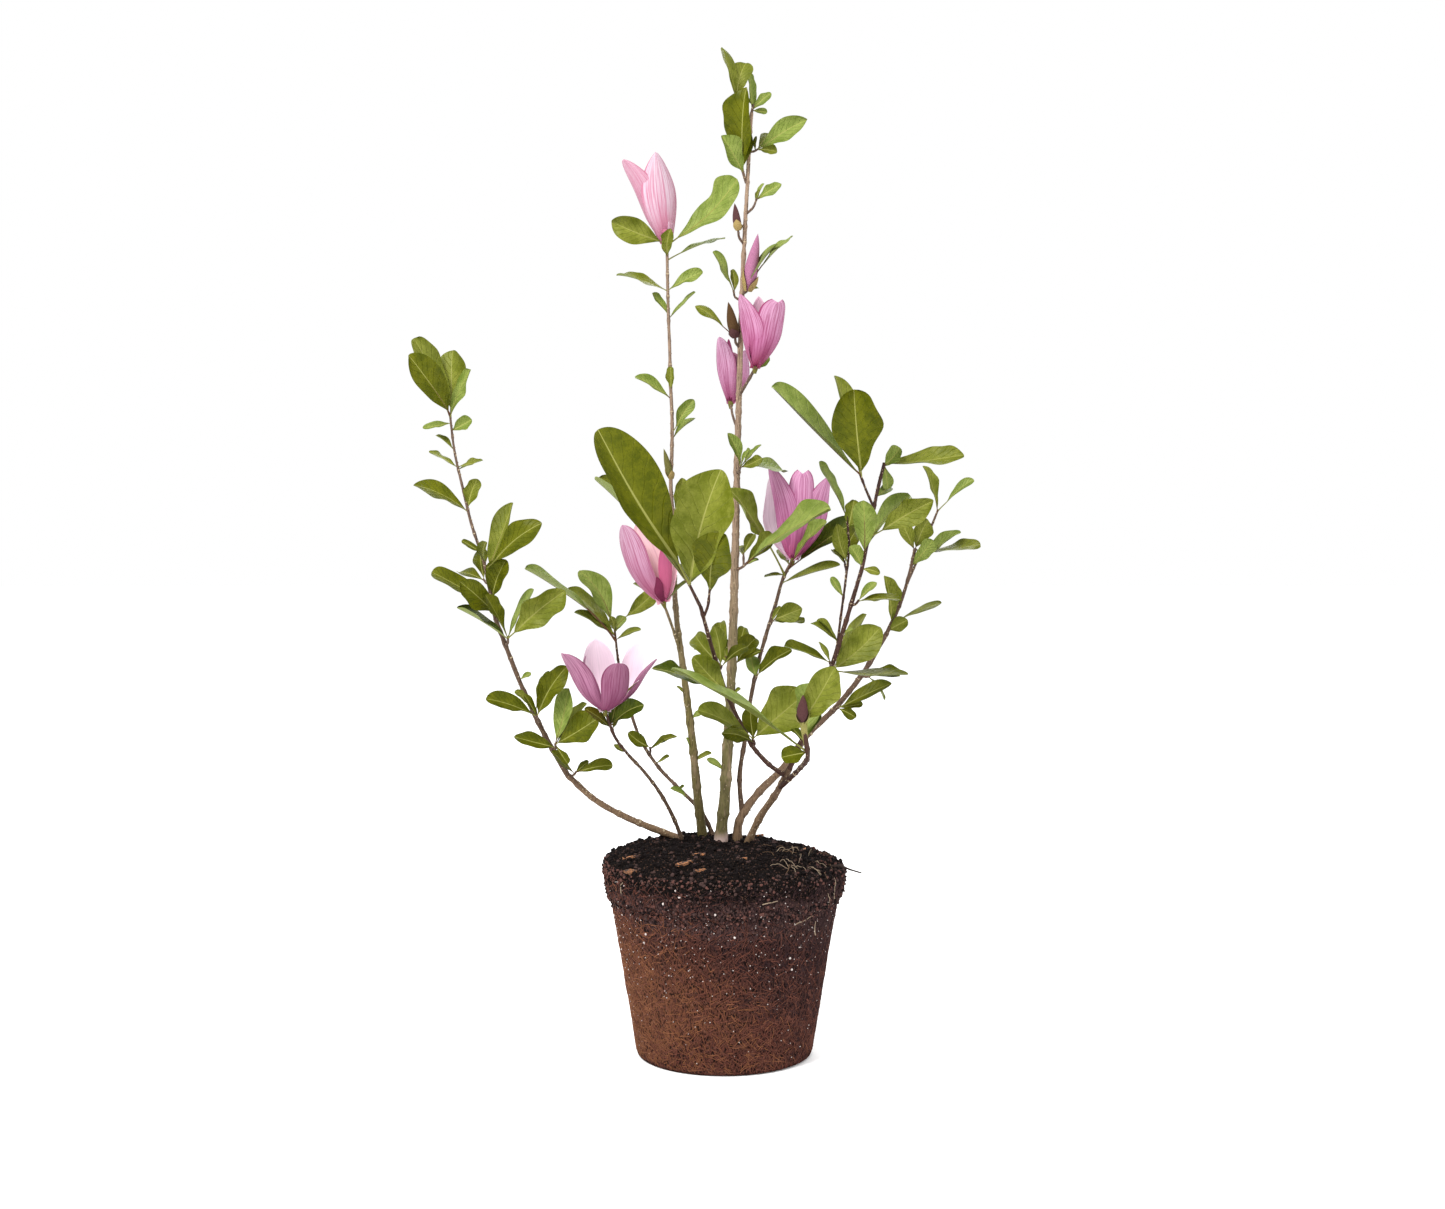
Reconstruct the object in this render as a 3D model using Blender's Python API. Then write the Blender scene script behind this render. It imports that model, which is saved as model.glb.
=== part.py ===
"""Magnolia shrub lifted out of its pot, standing on its bare root ball. Metres, +Z up.

The origin is the centre of the root ball's flat underside, and the viewer stands on the -Y side.
Sizes are in millimetres up to the moment a mesh is made.
"""
import math
import random

import bmesh
import bpy
from mathutils import Vector
from mathutils.bvhtree import BVHTree

MM = 0.001
GAP = 0.3
SPARE = 1.6
TIP = 1.0

for old in list(bpy.data.objects):
    bpy.data.objects.remove(old, do_unlink=True)


# Finishes

def finish(name, colour, roughness):
    material = bpy.data.materials.new(name)
    material.use_nodes = True
    surface = material.node_tree.nodes["Principled BSDF"]
    surface.inputs["Base Color"].default_value = (*colour, 1)
    surface.inputs["Roughness"].default_value = roughness
    material.diffuse_color = (*colour, 1)
    return material


COMPOST = finish("damp compost", (0.075, 0.035, 0.024), 0.95)
OLIVE_BARK = finish("olive bark", (0.24, 0.22, 0.13), 0.7)
BROWN_BARK = finish("brown bark", (0.17, 0.115, 0.08), 0.75)
GREEN_LEAF = finish("green leaf", (0.20, 0.28, 0.035), 0.5)
PINK_BLOOM = finish("pink bloom", (0.62, 0.24, 0.42), 0.5)


# Solids: a shape is a list of points in millimetres and a list of faces

def solid(name, shape, material):
    """One object from one closed shape, with its faces turned outwards."""
    points, faces = shape
    mesh = bpy.data.meshes.new(name)
    mesh.from_pydata([point * MM for point in points], [], faces)
    form = bmesh.new()
    form.from_mesh(mesh)
    bmesh.ops.recalc_face_normals(form, faces=form.faces)
    form.to_mesh(mesh)
    form.free()
    mesh.materials.append(material)
    thing = bpy.data.objects.new(name, mesh)
    bpy.context.collection.objects.link(thing)
    return thing


def skin(rings, pointed):
    """A closed shape through rings of points, with flat ends or a last ring that is one point."""
    points = [point for ring in rings for point in ring]
    sides = len(rings[0])
    faces = [tuple(reversed(range(sides)))]
    for row in range(len(rings) - 1 - pointed):
        low = row * sides
        for side in range(sides):
            after = (side + 1) % sides
            faces.append((low + side, low + after, low + sides + after))
            faces.append((low + side, low + sides + after, low + sides + side))
    last = (len(rings) - 1 - pointed) * sides
    if pointed:
        faces += [(last + side, last + (side + 1) % sides, last + sides) for side in range(sides)]
    else:
        faces.append(tuple(range(last, last + sides)))
    return points, faces


def blade(rings, tip):
    """A thin closed blade: each ring is left edge, upper middle, right edge, lower middle.

    Both faces are split along like diagonals, so that the thin faces never cross.
    """
    points = [point for ring in rings for point in ring] + [tip]
    faces = [(0, 1, 2), (0, 2, 3)]
    for low in range(0, 4 * len(rings) - 4, 4):
        for edge in (0, 2):
            for middle in (1, 3):
                faces.append((low + edge, low + middle, low + 4 + middle))
                faces.append((low + edge, low + 4 + middle, low + 4 + edge))
    last = 4 * len(rings) - 4
    faces += [(last + side, last + (side + 1) % 4, last + 4) for side in range(4)]
    return points, faces


def tree_of(shape):
    return BVHTree.FromPolygons(*shape)


# Limbs: smooth tapering routes. A place is told as it shows from the front, from EYE towards AIM:
# how far across, how far up, and its true depth behind the root ball's axis.

EYE = Vector((0, -2600, 750))
AIM = Vector((0, 0, 503))
SIGHT = (AIM - EYE).normalized()
UPRIGHT = Vector((1, 0, 0)).cross(SIGHT)
GROUND = 231
SPAN_PARTS = 10
FLARE_HEIGHT = 9


def seen(across, up, depth):
    """The point at this depth that shows across and up in the front view."""
    spot = AIM + Vector((across, 0, 0)) + UPRIGHT * (up - AIM.z)
    return EYE + (spot - EYE) * ((depth - EYE.y) / (spot.y - EYE.y))


def shown_up(point):
    """How far up a point shows in the front view."""
    ray = point - EYE
    return AIM.z + (AIM - EYE).length * ray.dot(UPRIGHT) / ray.dot(SIGHT)


class Limb:
    """A limb that tapers along a smooth curve through its points, as a row of ring centres."""

    def __init__(self, points, base, tip, step, flare=0):
        self.base, self.tip, self.flare = base, tip, flare
        curve = []
        ends = [2 * points[0] - points[1], *points, 2 * points[-1] - points[-2]]
        for a, b, c, d in zip(ends, ends[1:], ends[2:], ends[3:]):
            for part in range(SPAN_PARTS):
                t = part / SPAN_PARTS
                curve.append(0.5 * (2 * b + (c - a) * t + (2 * a - 5 * b + 4 * c - d) * t ** 2
                                    + (3 * b - 3 * c + d - a) * t ** 3))
        self.run_along([*curve, points[-1]])
        rings = max(2, round(self.length / step))
        crowding = 1.25 if flare else 1
        self.run_along([self.at((ring / rings) ** crowding) for ring in range(rings + 1)])

    def run_along(self, path):
        self.path = path
        self.marks = [0]
        for before, after in zip(path, path[1:]):
            self.marks.append(self.marks[-1] + (after - before).length)
        self.length = self.marks[-1]

    def at(self, share):
        reach = share * self.length
        for index in range(1, len(self.marks)):
            if reach <= self.marks[index]:
                break
        span = self.marks[index] - self.marks[index - 1]
        return self.path[index - 1].lerp(self.path[index], (reach - self.marks[index - 1]) / span)

    def share_at(self, up):
        """The share of its length at which the limb shows this far up."""
        for index in range(1, len(self.path)):
            low, high = shown_up(self.path[index - 1]), shown_up(self.path[index])
            if up <= high:
                part = (up - low) / (high - low)
                return (self.marks[index - 1]
                        + part * (self.marks[index] - self.marks[index - 1])) / self.length
        return TIP

    def direction(self, share):
        return (self.at(min(share + 0.01, 1)) - self.at(max(share - 0.01, 0))).normalized()

    def radius(self, share):
        taper = self.tip + (self.base - self.tip) * (1 - share) ** 1.4
        return taper + self.flare * math.exp(-share * self.length / FLARE_HEIGHT)

    def tube(self, sides, cut=None):
        """The limb's skin; cut is the direction that its first end faces."""
        rings = []
        across = Vector((1, 0, 0))
        for centre, mark in zip(self.path, self.marks):
            share = mark / self.length
            ahead = self.direction(share) if mark or not cut else cut
            across = (across - ahead * across.dot(ahead)).normalized()
            beside = ahead.cross(across)
            ring = []
            for side in range(sides):
                turn = 2 * math.pi * side / sides
                ring.append(centre + self.radius(share)
                            * (across * math.cos(turn) + beside * math.sin(turn)))
            rings.append(ring)
        return skin(rings, pointed=False)


STEP = 40
LIMBS = {}
SHAPES = {}
TREES = {}


def add_limb(name, limb, sides, cut):
    LIMBS[name] = limb
    SHAPES[name] = limb.tube(sides, cut)
    TREES[name] = [tree_of(SHAPES[name])]


def stem(name, foot, route, base, tip, sides=8, flare=0):
    """A stem that rises from a flat cut on the compost; foot is its place across and in depth."""
    start = Vector((foot[0], foot[1], GROUND + GAP))
    points = [start, start + Vector((0, 0, 6)), *(seen(*place) for place in route)]
    add_limb(name, Limb(points, base, tip, STEP, flare), sides, cut=Vector((0, 0, 1)))
    solid(name, SHAPES[name], OLIVE_BARK)


def springing(parent, up, toward):
    """Where a shoot starts at a limb's tip or side, clear of its bark, and the way it faces."""
    limb = LIMBS[parent]
    share = TIP if up == TIP else limb.share_at(up)
    centre, ahead = limb.at(share), limb.direction(share)
    if share == TIP:
        return centre + ahead * GAP, ahead
    out = toward - centre
    out = (out - ahead * out.dot(ahead)).normalized()
    return centre + out * (limb.radius(share) + GAP), out


def shoot(name, parent, up, route, base, tip, sides):
    """A limb that springs from another one, at its tip or where that one shows this far up."""
    places = [seen(*place) for place in route]
    start, out = springing(parent, up, places[0])
    points = [start, *places] if up == TIP else [start, start + out * 4, *places]
    add_limb(name, Limb(points, base, tip, STEP), sides, cut=out)


def bough(name, parent, up, route, base, tip):
    shoot(name, parent, up, route, base, tip, sides=8)
    solid(name, SHAPES[name], BROWN_BARK)


# Root ball: compost and fine roots, moulded by the pot that it came out of

BALL_BASE = 98
BALL_SHOULDER = 126
BAND_FOOT = 130
BAND_RIM = 134
BAND_BOTTOM = 179
RIM_HEIGHT = 219
BALL_ASIDE = 2
MOUND = 80
BALL_SIDES = 36


def root_ball():
    profile = [(BALL_BASE - 4, 0), (BALL_BASE, 5), ((BALL_BASE + BALL_SHOULDER) / 2, 92),
               (BALL_SHOULDER, BAND_BOTTOM), (BAND_FOOT, BAND_BOTTOM + 6), (BAND_RIM, 200),
               (BAND_RIM - 1, RIM_HEIGHT - 4), (BAND_RIM - 7, RIM_HEIGHT),
               (BAND_RIM - 28, RIM_HEIGHT + 6), (MOUND, GROUND)]
    rings = []
    for row, (radius, height) in enumerate(profile):
        ring = []
        for side in range(BALL_SIDES):
            turn = 2 * math.pi * side / BALL_SIDES
            rough = 0 if row in (0, len(profile) - 1) else 0.9 * math.sin(5 * turn + row * 1.7)
            ring.append(Vector(((radius + rough) * math.cos(turn) + BALL_ASIDE,
                                (radius + rough) * math.sin(turn), height)))
        rings.append(ring)
    SHAPES["root_ball"] = skin(rings, pointed=False)
    TREES["root_ball"] = [tree_of(SHAPES["root_ball"])]
    solid("root_ball", SHAPES["root_ball"], COMPOST)


root_ball()


# Trunk and the stems round it. The trunk is the tall middle one, whole up to its tip.

stem("trunk", (-2, 30), [(3, 300, 31), (10, 430, 34), (14, 560, 35), (16, 650, 34), (21, 830, 30),
                         (27, 960, 28), (32, 1044, 27)], base=6.8, tip=1.9, sides=10, flare=1.6)
stem("left_tall_stem", (-22, 50), [(-27, 288, 51), (-33, 352, 54), (-43, 430, 59), (-52, 505, 64),
                                   (-54, 596, 70)], base=5.7, tip=2.6)
stem("left_arching_stem", (-41, 42), [(-69, 254, 36), (-112, 272, 25), (-147, 293, 16),
                                      (-170, 315, 10)], base=4.1, tip=3.2)
stem("left_front_stem", (-44, 27), [(-67, 293, 5), (-87, 320, -18), (-103, 337, -38)],
     base=2.4, tip=1.8)
stem("left_back_stem", (-9, 54), [(-24, 276, 68), (-57, 310, 86), (-84, 342, 100),
                                  (-102, 387, 108)], base=2.6, tip=1.8)
stem("right_stem", (16, 42), [(18, 264, 42), (27, 280, 45), (44, 301, 51), (66, 322, 60),
                              (94, 360, 72), (135, 401, 88), (168, 448, 102), (181, 472, 106)],
     base=5.0, tip=2.7, flare=0.8)
stem("front_right_stem", (28, 26), [(35, 261, 18), (52, 283, 0), (61, 299, -12), (74, 323, -30)],
     base=4.3, tip=3.7)

# Boughs: each is one limb, split where it bends round a wide gap
bough("left_arching_bough", "left_arching_stem", TIP,
      [(-190, 349, 0), (-217, 404, -10), (-239, 459, -20), (-250, 488, -24)], 3.2, 2.4)
bough("right_upright_bough", "right_stem", 275,
      [(17, 292, 43), (19, 316, 45), (24, 349, 48), (29, 387, 54), (40, 442, 62), (59, 505, 72)],
      2.9, 2.0)
bough("front_left_bough", "front_right_stem", 316,
      [(41, 337, -65), (32, 349, -75), (5, 404, -110), (-14, 464, -148), (-24, 500, -168)], 2.6, 2.0)
bough("dark_bough", "front_right_stem", TIP,
      [(82, 341, -33), (92, 365, -30), (118, 429, -25), (143, 508, -20), (153, 541, -18)], 2.9, 2.3)


# Leaves: a stalk and a blade that widens past its middle, folded along the midrib and arched

LEAF_BREADTH = 0.42
STALK = 0.9
LEAF_THICKNESS = 1 / 85


class Leaf:
    """A leaf from base, turned side degrees from straight up and forward degrees to the front.

    Width is as it shows from the front: the blade is turned about its midrib to look that wide.
    """

    def __init__(self, base, side, forward, length, width, stalk, bend, fold):
        side, forward = math.radians(side), math.radians(forward)
        self.base, self.length, self.stalk = base, length, stalk
        self.along = Vector((math.sin(side) * math.cos(forward), -math.sin(forward),
                             math.cos(side) * math.cos(forward)))
        full = max(width, LEAF_BREADTH * length * (1 - stalk))
        self.half = full / 2
        facing = Vector((0, -1, 0.25))
        facing = (facing - self.along * facing.dot(self.along)).normalized()
        beside = self.along.cross(facing)
        turn = math.acos(width / full) * (1 if beside.z > 0 else -1)
        self.normal = facing * math.cos(turn) + beside * math.sin(turn)
        self.bend, self.fold = math.radians(bend), math.radians(fold)

    def station(self, share):
        """Middle, ahead and upper direction at a share of the leaf's length."""
        angle = self.bend * (share - 0.5)
        reach = self.length / (2 * math.sin(self.bend / 2))
        middle = self.base + reach * (
            (math.sin(angle) + math.sin(self.bend / 2)) * self.along
            + (math.cos(angle) - math.cos(self.bend / 2)) * self.normal)
        ahead = self.along * math.cos(angle) - self.normal * math.sin(angle)
        upper = self.normal * math.cos(angle) + self.along * math.sin(angle)
        return middle, ahead, upper

    def half_width(self, share):
        """Half of the blade's width at a share of its own length."""
        return max(STALK, self.half * 2.88 * share * (1 - share) ** 0.6)

    def shape(self, spare=0):
        """A thin closed blade; spare makes it thicker and wider to try whether it is clear."""
        blades = (0.56,) if self.length < 34 else (0.46, 0.84)
        if self.length > 62:
            blades = (0.02, 0.46, 0.84) if self.stalk > 0.25 else (0.3, 0.62, 0.9)
        rings = [self.ring(0, STALK + spare / 2, STALK + spare / 2)]
        for share in blades:
            thick = max(1.0, self.length * LEAF_THICKNESS) + spare
            rings.append(self.ring(self.stalk + share * (1 - self.stalk),
                                   self.half_width(share) + spare / 2, thick / 2))
        return blade(rings, self.station(1)[0])

    def ring(self, share, half, thick):
        middle, ahead, upper = self.station(share)
        beside = ahead.cross(upper)
        lift = upper * (half * math.sin(self.fold)) if share else Vector()
        spread = beside * half
        return [middle - spread + lift, middle + upper * thick, middle + spread + lift,
                middle - upper * thick]


# Blooms: two whorls of three tepals that wrap one goblet, and buds

TEPAL_THICKNESS = 1.2


class Bloom:
    """A goblet on a base: its axis, height, widest radius, radius at the tips, and one loose tepal."""

    def __init__(self, base, side, forward, height, belly, mouth, turn, loose):
        side, forward = math.radians(side), math.radians(forward)
        self.base, self.height, self.belly, self.mouth = base, height, belly, mouth
        self.turn, self.loose = math.radians(turn), loose
        self.axis = Vector((math.sin(side) * math.cos(forward), -math.sin(forward),
                            math.cos(side) * math.cos(forward)))
        self.across = (Vector((1, 0, 0)) - self.axis * self.axis.x).normalized()
        self.beside = self.axis.cross(self.across)

    def spot(self, radius, turn, rise):
        return (self.base + self.axis * rise
                + radius * (self.across * math.cos(turn) + self.beside * math.sin(turn)))

    def tepals(self):
        """The shapes of all tepals, from the outer whorl to the inner one."""
        for whorl, (size, tall) in enumerate(((1, 0.95), (0.76, 1))):
            for number in range(3):
                turn = self.turn + math.radians(120 * number + 62 * whorl)
                yield self.tepal(turn, size, tall, self.loose if whorl == number == 0 else 0)

    def radius(self, share, size, extra):
        swell = math.sin(min(1, share / 0.55) * math.pi / 2) ** 0.85
        flare = max(0, share - 0.45) / 0.55
        return 1.2 + size * (self.belly * swell + (self.mouth - self.belly) * flare ** 1.5) \
            + extra * share ** 1.4

    def tepal(self, turn, size, tall, extra):
        rings = []
        for share, wrap in ((0, 34), (0.36, 46), (0.76, 36)):
            radius = self.radius(share, size, extra)
            wrap = math.radians(wrap)
            rise = (share * tall + 0.02) * self.height - 2
            thick = TEPAL_THICKNESS / 2
            rings.append([self.spot(radius, turn - wrap, rise), self.spot(radius + thick, turn, rise),
                          self.spot(radius, turn + wrap, rise), self.spot(radius - thick, turn, rise)])
        return blade(rings, self.spot(self.radius(1, size, extra), turn, tall * self.height))

    def seat(self):
        """The green knob that holds the tepals together."""
        rings = []
        for radius, rise in ((1.6, -5), (3.6, -1), (3.2, 4)):
            rings.append([self.spot(radius, math.radians(60 * side), rise) for side in range(6)])
        return skin([*rings, [self.spot(0, 0, 7)]], pointed=True)


def bud(base, side, forward, length, width):
    """A closed bud: a spindle in its furry scale."""
    form = Bloom(base, side, forward, length, width / 2, 0, 0, 0)
    rings = []
    for radius, rise in ((0.36, -0.05), (0.98, 0.25), (0.86, 0.6)):
        rings.append([form.spot(radius * width / 2, math.radians(60 * side), rise * length)
                      for side in range(6)])
    return skin([*rings, [form.spot(0, 0, length)]], pointed=True)


# Masses of foliage. Each grows on one stem. Its leading leaves are told one by one, as share of
# the stem, degrees to the side, degrees to the front, length and width, then where they aren't
# usual the stalk's share of the length and the degrees of the arch, less than 0 where it sags.
# Short twigs are dealt round the back of the stem by the golden angle, with two leaves each.

GOLDEN = math.radians(137.5)
NUDGES = (0, 14, -14, 28, -28, 42, -42, 58, -58)
SHORT_STALK = 0.14
SMALLEST = 24
MASSES = []


def mass(name, parent, up, route, base, tip, leaves, twigs=0, bloom=None, bud_at=None):
    """The mass's own stem comes first; what it carries grows once all stems stand."""
    shoot(name, parent, up, route, base, tip, sides=5)
    MASSES.append((name, leaves, twigs, bloom, bud_at))


def is_clear(name, shape):
    """Whether this shape touches nothing that belongs to another node."""
    tried = tree_of(shape)
    return not any(tried.overlap(tree) for other, trees in TREES.items() if other != name
                   for tree in trees)


def grown_leaf(name, limb, dice, share, side, forward, length, width,
               stalk=SHORT_STALK, bend=None):
    """The leaf as told, leant to the front or back until it is clear, or none at all.

    Its root lies well inside the limb, a little apart from its neighbours' roots.
    """
    usual, fold = dice.uniform(8, 32), dice.uniform(10, 30)
    apart = Vector([dice.uniform(-0.4, 0.4) for _ in range(3)])
    base = limb.at(min(share, 1 - 1.2 / limb.length)) + apart
    if length < SMALLEST:
        return []
    for nudge in NUDGES:
        leaf = Leaf(base, side, forward + nudge, length, width, stalk, bend or usual, fold)
        if is_clear(name, leaf.shape(SPARE)):
            return [leaf.shape()]
    return []


def dealt_twigs(limb, count, dice):
    """Short twigs round the far side of a stem."""
    for number in range(count):
        start = limb.at(0.15 + 0.8 * (number + dice.random()) / count)
        turn = math.radians(90 + 45 * math.sin(GOLDEN * number + dice.random()))
        out = Vector((math.cos(turn), math.sin(turn), dice.uniform(0.3, 0.9))).normalized()
        length = dice.uniform(9, 20)
        yield Limb([start, start + out * length / 2, start + out * length + Vector((0, 0, 2))],
                   1.3, 1.0, length)


def grow(name, leaves, twigs, bloom, bud_at):
    """The shapes that one stem carries: bloom, bud, leading leaves, twigs and their leaves."""
    limb = LIMBS[name]
    dice = random.Random(name)
    grown = []
    if bloom:
        flower = Bloom(limb.at(TIP), *bloom)
        grown += [flower.seat(), *flower.tepals()]
    if bud_at:
        grown.append(bud(limb.at(bud_at[0]), *bud_at[1:]))
    for leaf in leaves:
        grown += grown_leaf(name, limb, dice, *leaf)
    for twig in dealt_twigs(limb, twigs, dice):
        out = twig.direction(TIP)
        side = math.degrees(math.atan2(out.x, out.z))
        forward = math.degrees(math.asin(-out.y))
        pair = []
        for share, turn, breadth in ((0.9, 30, 0.36), (0.7, -35, 0.3)):
            length = dice.uniform(26, 50)
            pair += grown_leaf(name, twig, dice, share, side + turn, forward, length,
                               length * breadth)
        wood = twig.tube(3)
        if pair and is_clear(name, wood):
            grown += [wood, *pair]
    return grown


def fused(name, shapes, material):
    """One solid by a single union of overlapping shapes, without loose scraps or sealed hollows."""
    body = solid(name, shapes[0], material)
    others = bpy.data.collections.new(name)
    for shape in shapes[1:]:
        others.objects.link(solid(name + "_piece", shape, material))
    union = body.modifiers.new("union", "BOOLEAN")
    union.operation = "UNION"
    union.solver = "MANIFOLD"
    union.operand_type = "COLLECTION"
    union.collection = others
    graph = bpy.context.evaluated_depsgraph_get()
    joined = bpy.data.meshes.new_from_object(body.evaluated_get(graph))
    body.modifiers.clear()
    body.data = joined
    for piece in list(others.objects):
        bpy.data.objects.remove(piece, do_unlink=True)
    bpy.data.collections.remove(others)
    keep_largest(joined)


def keep_largest(mesh):
    """Only the shell with the most faces stays, so that the mesh is one closed body."""
    form = bmesh.new()
    form.from_mesh(mesh)
    left = set(form.faces)
    shells = []
    while left:
        shell = []
        reached = [left.pop()]
        while reached:
            face = reached.pop()
            shell.append(face)
            for edge in face.edges:
                for near in edge.link_faces:
                    if near in left:
                        left.remove(near)
                        reached.append(near)
        shells.append(shell)
    shells.sort(key=len)
    bmesh.ops.delete(form, geom=[face for shell in shells[:-1] for face in shell], context="FACES")
    form.to_mesh(mesh)
    form.free()


# Leader: what grows on the trunk, from its tip down

mass("leader_left_shoot", "trunk", 968, [(19, 984, 22), (14, 1014, 18), (15, 1058, 16)], 1.5, 1.1,
     [(0.08, 1, 14, 95, 24), (0.16, 12, -12, 40, 16), (0.11, -31, 22, 49, 22), (0.99, -15, 8, 59, 14),
      (TIP, 14, -14, 45, 23)])
mass("leader_tip_leaves", "trunk", TIP, [(34, 1053, 27)], 1.6, 1.2,
     [(0.31, 48, 0, 28, 10), (0.08, -4, 8, 42, 7), (0.79, -49, -30, 18, 5), (0.26, 95, 0, 17, 7)])
mass("leader_right_shoot", "trunk", 1001, [(39, 1004, 20)], 1.4, 1.1,
     [(0.94, 60, 14, 64, 24, 0.14, -22), (TIP, 96, 6, 22, 12), (0.63, 3, 0, 16, 4),
      (0.86, 43, -50, 38, 14)])
mass("leader_right_spur", "trunk", 934, [(38, 950, 20)], 1.4, 1.1,
     [(0.87, 58, 10, 33, 12), (0.94, 26, -5, 19, 4), (0.73, 17, 0, 15, 4)])
mass("leader_left_bud", "trunk", 901, [(17, 918, 22)], 1.4, 1.2,
     [(0.57, -17, -10, 20, 5)], bud_at=(0.9, -8, 0, 28, 9))
mass("leader_flower_bud", "trunk", 845, [(29, 852, 15)], 1.6, 1.5,
     [(0.89, 41, 14, 76, 8, 0.45), (0.96, 34, 18, 59, 6), (0.53, 73, -20, 15, 5)],
      bud_at=(0.9, 10, 8, 60, 15))
mass("leader_left_leaf", "trunk", 838, [(12, 849, 27)], 1.4, 1.1,
     [(0.9, -27, 8, 49, 11), (0.81, -5, -20, 27, 9)])
mass("leader_brown_bud", "trunk", 787, [(14, 800, 24)], 1.5, 1.3,
     [(0.74, -52, 10, 57, 11, 0.4)], bud_at=(0.9, -12, 6, 38, 12))
mass("bloom_two_shoot", "trunk", 735, [(29, 751, 8), (36, 763, -4)], 1.8, 1.6,
     [(0.88, 50, -8, 24, 9)], bloom=(5, 6, 79, 23, 25, -130, 4))
mass("bloom_three_shoot", "trunk", 698, [(11, 712, 44), (9, 724, 57)], 1.5, 1.4,
     [], bloom=(-1, -4, 74, 18, 9, -100, 3))
mass("leader_middle_tuft", "trunk", 648, [(20, 655, 14)], 1.5, 1.2,
     [(0.94, 99, -48, 74, 17), (0.81, 65, 20, 28, 12), (0.99, 43, -8, 34, 6), (0.93, -21, 8, 40, 13),
      (0.92, 28, 25, 25, 5)])
mass("leader_low_shoot", "trunk", 542, [(27, 549, 16)], 1.6, 1.4,
     [(TIP, 55, 22, 118, 25), (0.67, 41, -6, 48, 17), (0.65, 66, 20, 19, 6)], twigs=1)
mass("leader_foot_tuft", "trunk", 432, [(15, 440, 54)], 1.5, 1.3,
     [(0.93, 40, -20, 37, 22), (0.82, 63, 4, 32, 9), (0.77, -51, -40, 32, 13)], twigs=2)

# Left tall stem

mass("bloom_five_shoot", "left_tall_stem", 455,
     [(-56, 481, 48), (-61, 495, 42), (-65, 505, 37)], 1.7, 1.5,
     [(0.9, -54, -10, 45, 8), (0.95, 46, -10, 40, 7)], bloom=(-16, 8, 90, 25, 17, 200, 4))
mass("left_tall_middle", "left_tall_stem", TIP,
     [(-57, 640, 75), (-55, 690, 80), (-57, 740, 84), (-58, 783, 87)], 2.3, 1.9,
     [(0.02, 14, 6, 45, 15, 0.3), (0.51, 33, 0, 45, 15, 0.25), (0.47, 46, -20, 38, 10),
      (0.71, -58, 8, 48, 13), (0.76, 0, 12, 28, 8)], bud_at=(0.25, -14, 8, 34, 8))
mass("left_tall_top", "left_tall_middle", TIP, [(-60, 838, 90), (-61, 900, 92)], 1.85, 1.7,
     [(0.33, -36, 0, 30, 8), (0.29, 45, 0, 43, 7), (0.55, -72, 6, 61, 14), (0.56, 62, 8, 45, 14),
      (0.98, 47, 10, 108, 30, 0.2, -24), (TIP, -68, 10, 68, 29, 0.2), (0.84, 68, -15, 73, 10, 0.3),
      (0.87, 8, 38, 39, 13)], bloom=(-7, 4, 98, 24, 7, 216, 34))

# Left arching stem and its bough

mass("left_bend_tuft", "left_arching_stem", 313, [(-161, 319, -2)], 1.4, 1.2,
     [(0.98, 78, 5, 42, 14), (0.74, 52, -30, 21, 7), (0.59, -40, 10, 41, 10)])
mass("left_arch_low_tuft", "left_arching_bough", 343, [(-184, 350, -16)], 1.5, 1.3,
     [(TIP, 57, 10, 58, 30), (0.99, 37, -20, 58, 13), (0.86, 13, 4, 65, 22), (0.55, -73, 14, 48, 17),
      (0.89, 147, 0, 26, 8)])
mass("left_arch_middle_tuft", "left_arching_bough", 374, [(-205, 381, -22)], 1.5, 1.3,
     [(0.88, 31, 5, 66, 24), (0.99, -69, 12, 59, 15), (0.87, -28, 8, 28, 7)], twigs=1)
mass("left_arch_high_tuft", "left_arching_bough", 459, [(-236, 466, -34)], 1.5, 1.3,
     [(0.98, 50, 8, 84, 32, 0.2), (0.98, 26, -15, 62, 13), (TIP, -24, 20, 58, 10),
      (0.85, -57, 10, 66, 9)], twigs=1)
mass("left_arch_crown_low", "left_arching_bough", TIP, [(-256, 519, -28), (-263, 553, -32)], 2.1, 1.8,
     [(0.21, -59, 10, 76, 23), (0.09, -42, 35, 61, 26), (0.32, 21, 6, 47, 25),
      (0.7, 19, -10, 86, 23, 0.22), (0.82, 50, 12, 83, 30, 0.22), (0.93, 10, 25, 43, 13)], twigs=1)
mass("left_arch_crown_middle", "left_arch_crown_low", TIP,
     [(-272, 577, -35), (-280, 607, -38), (-285, 628, -41)], 1.75, 1.5,
     [(0.08, -57, 0, 26, 7), (0.69, -62, 8, 66, 19), (0.74, 19, 0, 34, 16), (TIP, -49, 10, 28, 6)])
mass("left_arch_crown_top", "left_arch_crown_middle", TIP,
     [(-291, 657, -45), (-295, 673, -48), (-300, 714, -52)], 1.45, 1.2,
     [(0.28, 70, 5, 29, 8), (0.29, -60, 0, 36, 9), (0.31, 76, 30, 22, 6), (0.52, -50, -10, 27, 7),
      (0.77, 61, 0, 25, 15), (0.87, -100, 10, 31, 10), (0.92, -23, 5, 94, 22, 0.16),
      (TIP, -31, 30, 84, 24, 0.12), (0.95, 0, -16, 74, 33, 0.2), (0.94, 25, 15, 58, 17, 0.16)])

# Left front and left back stems

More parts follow.
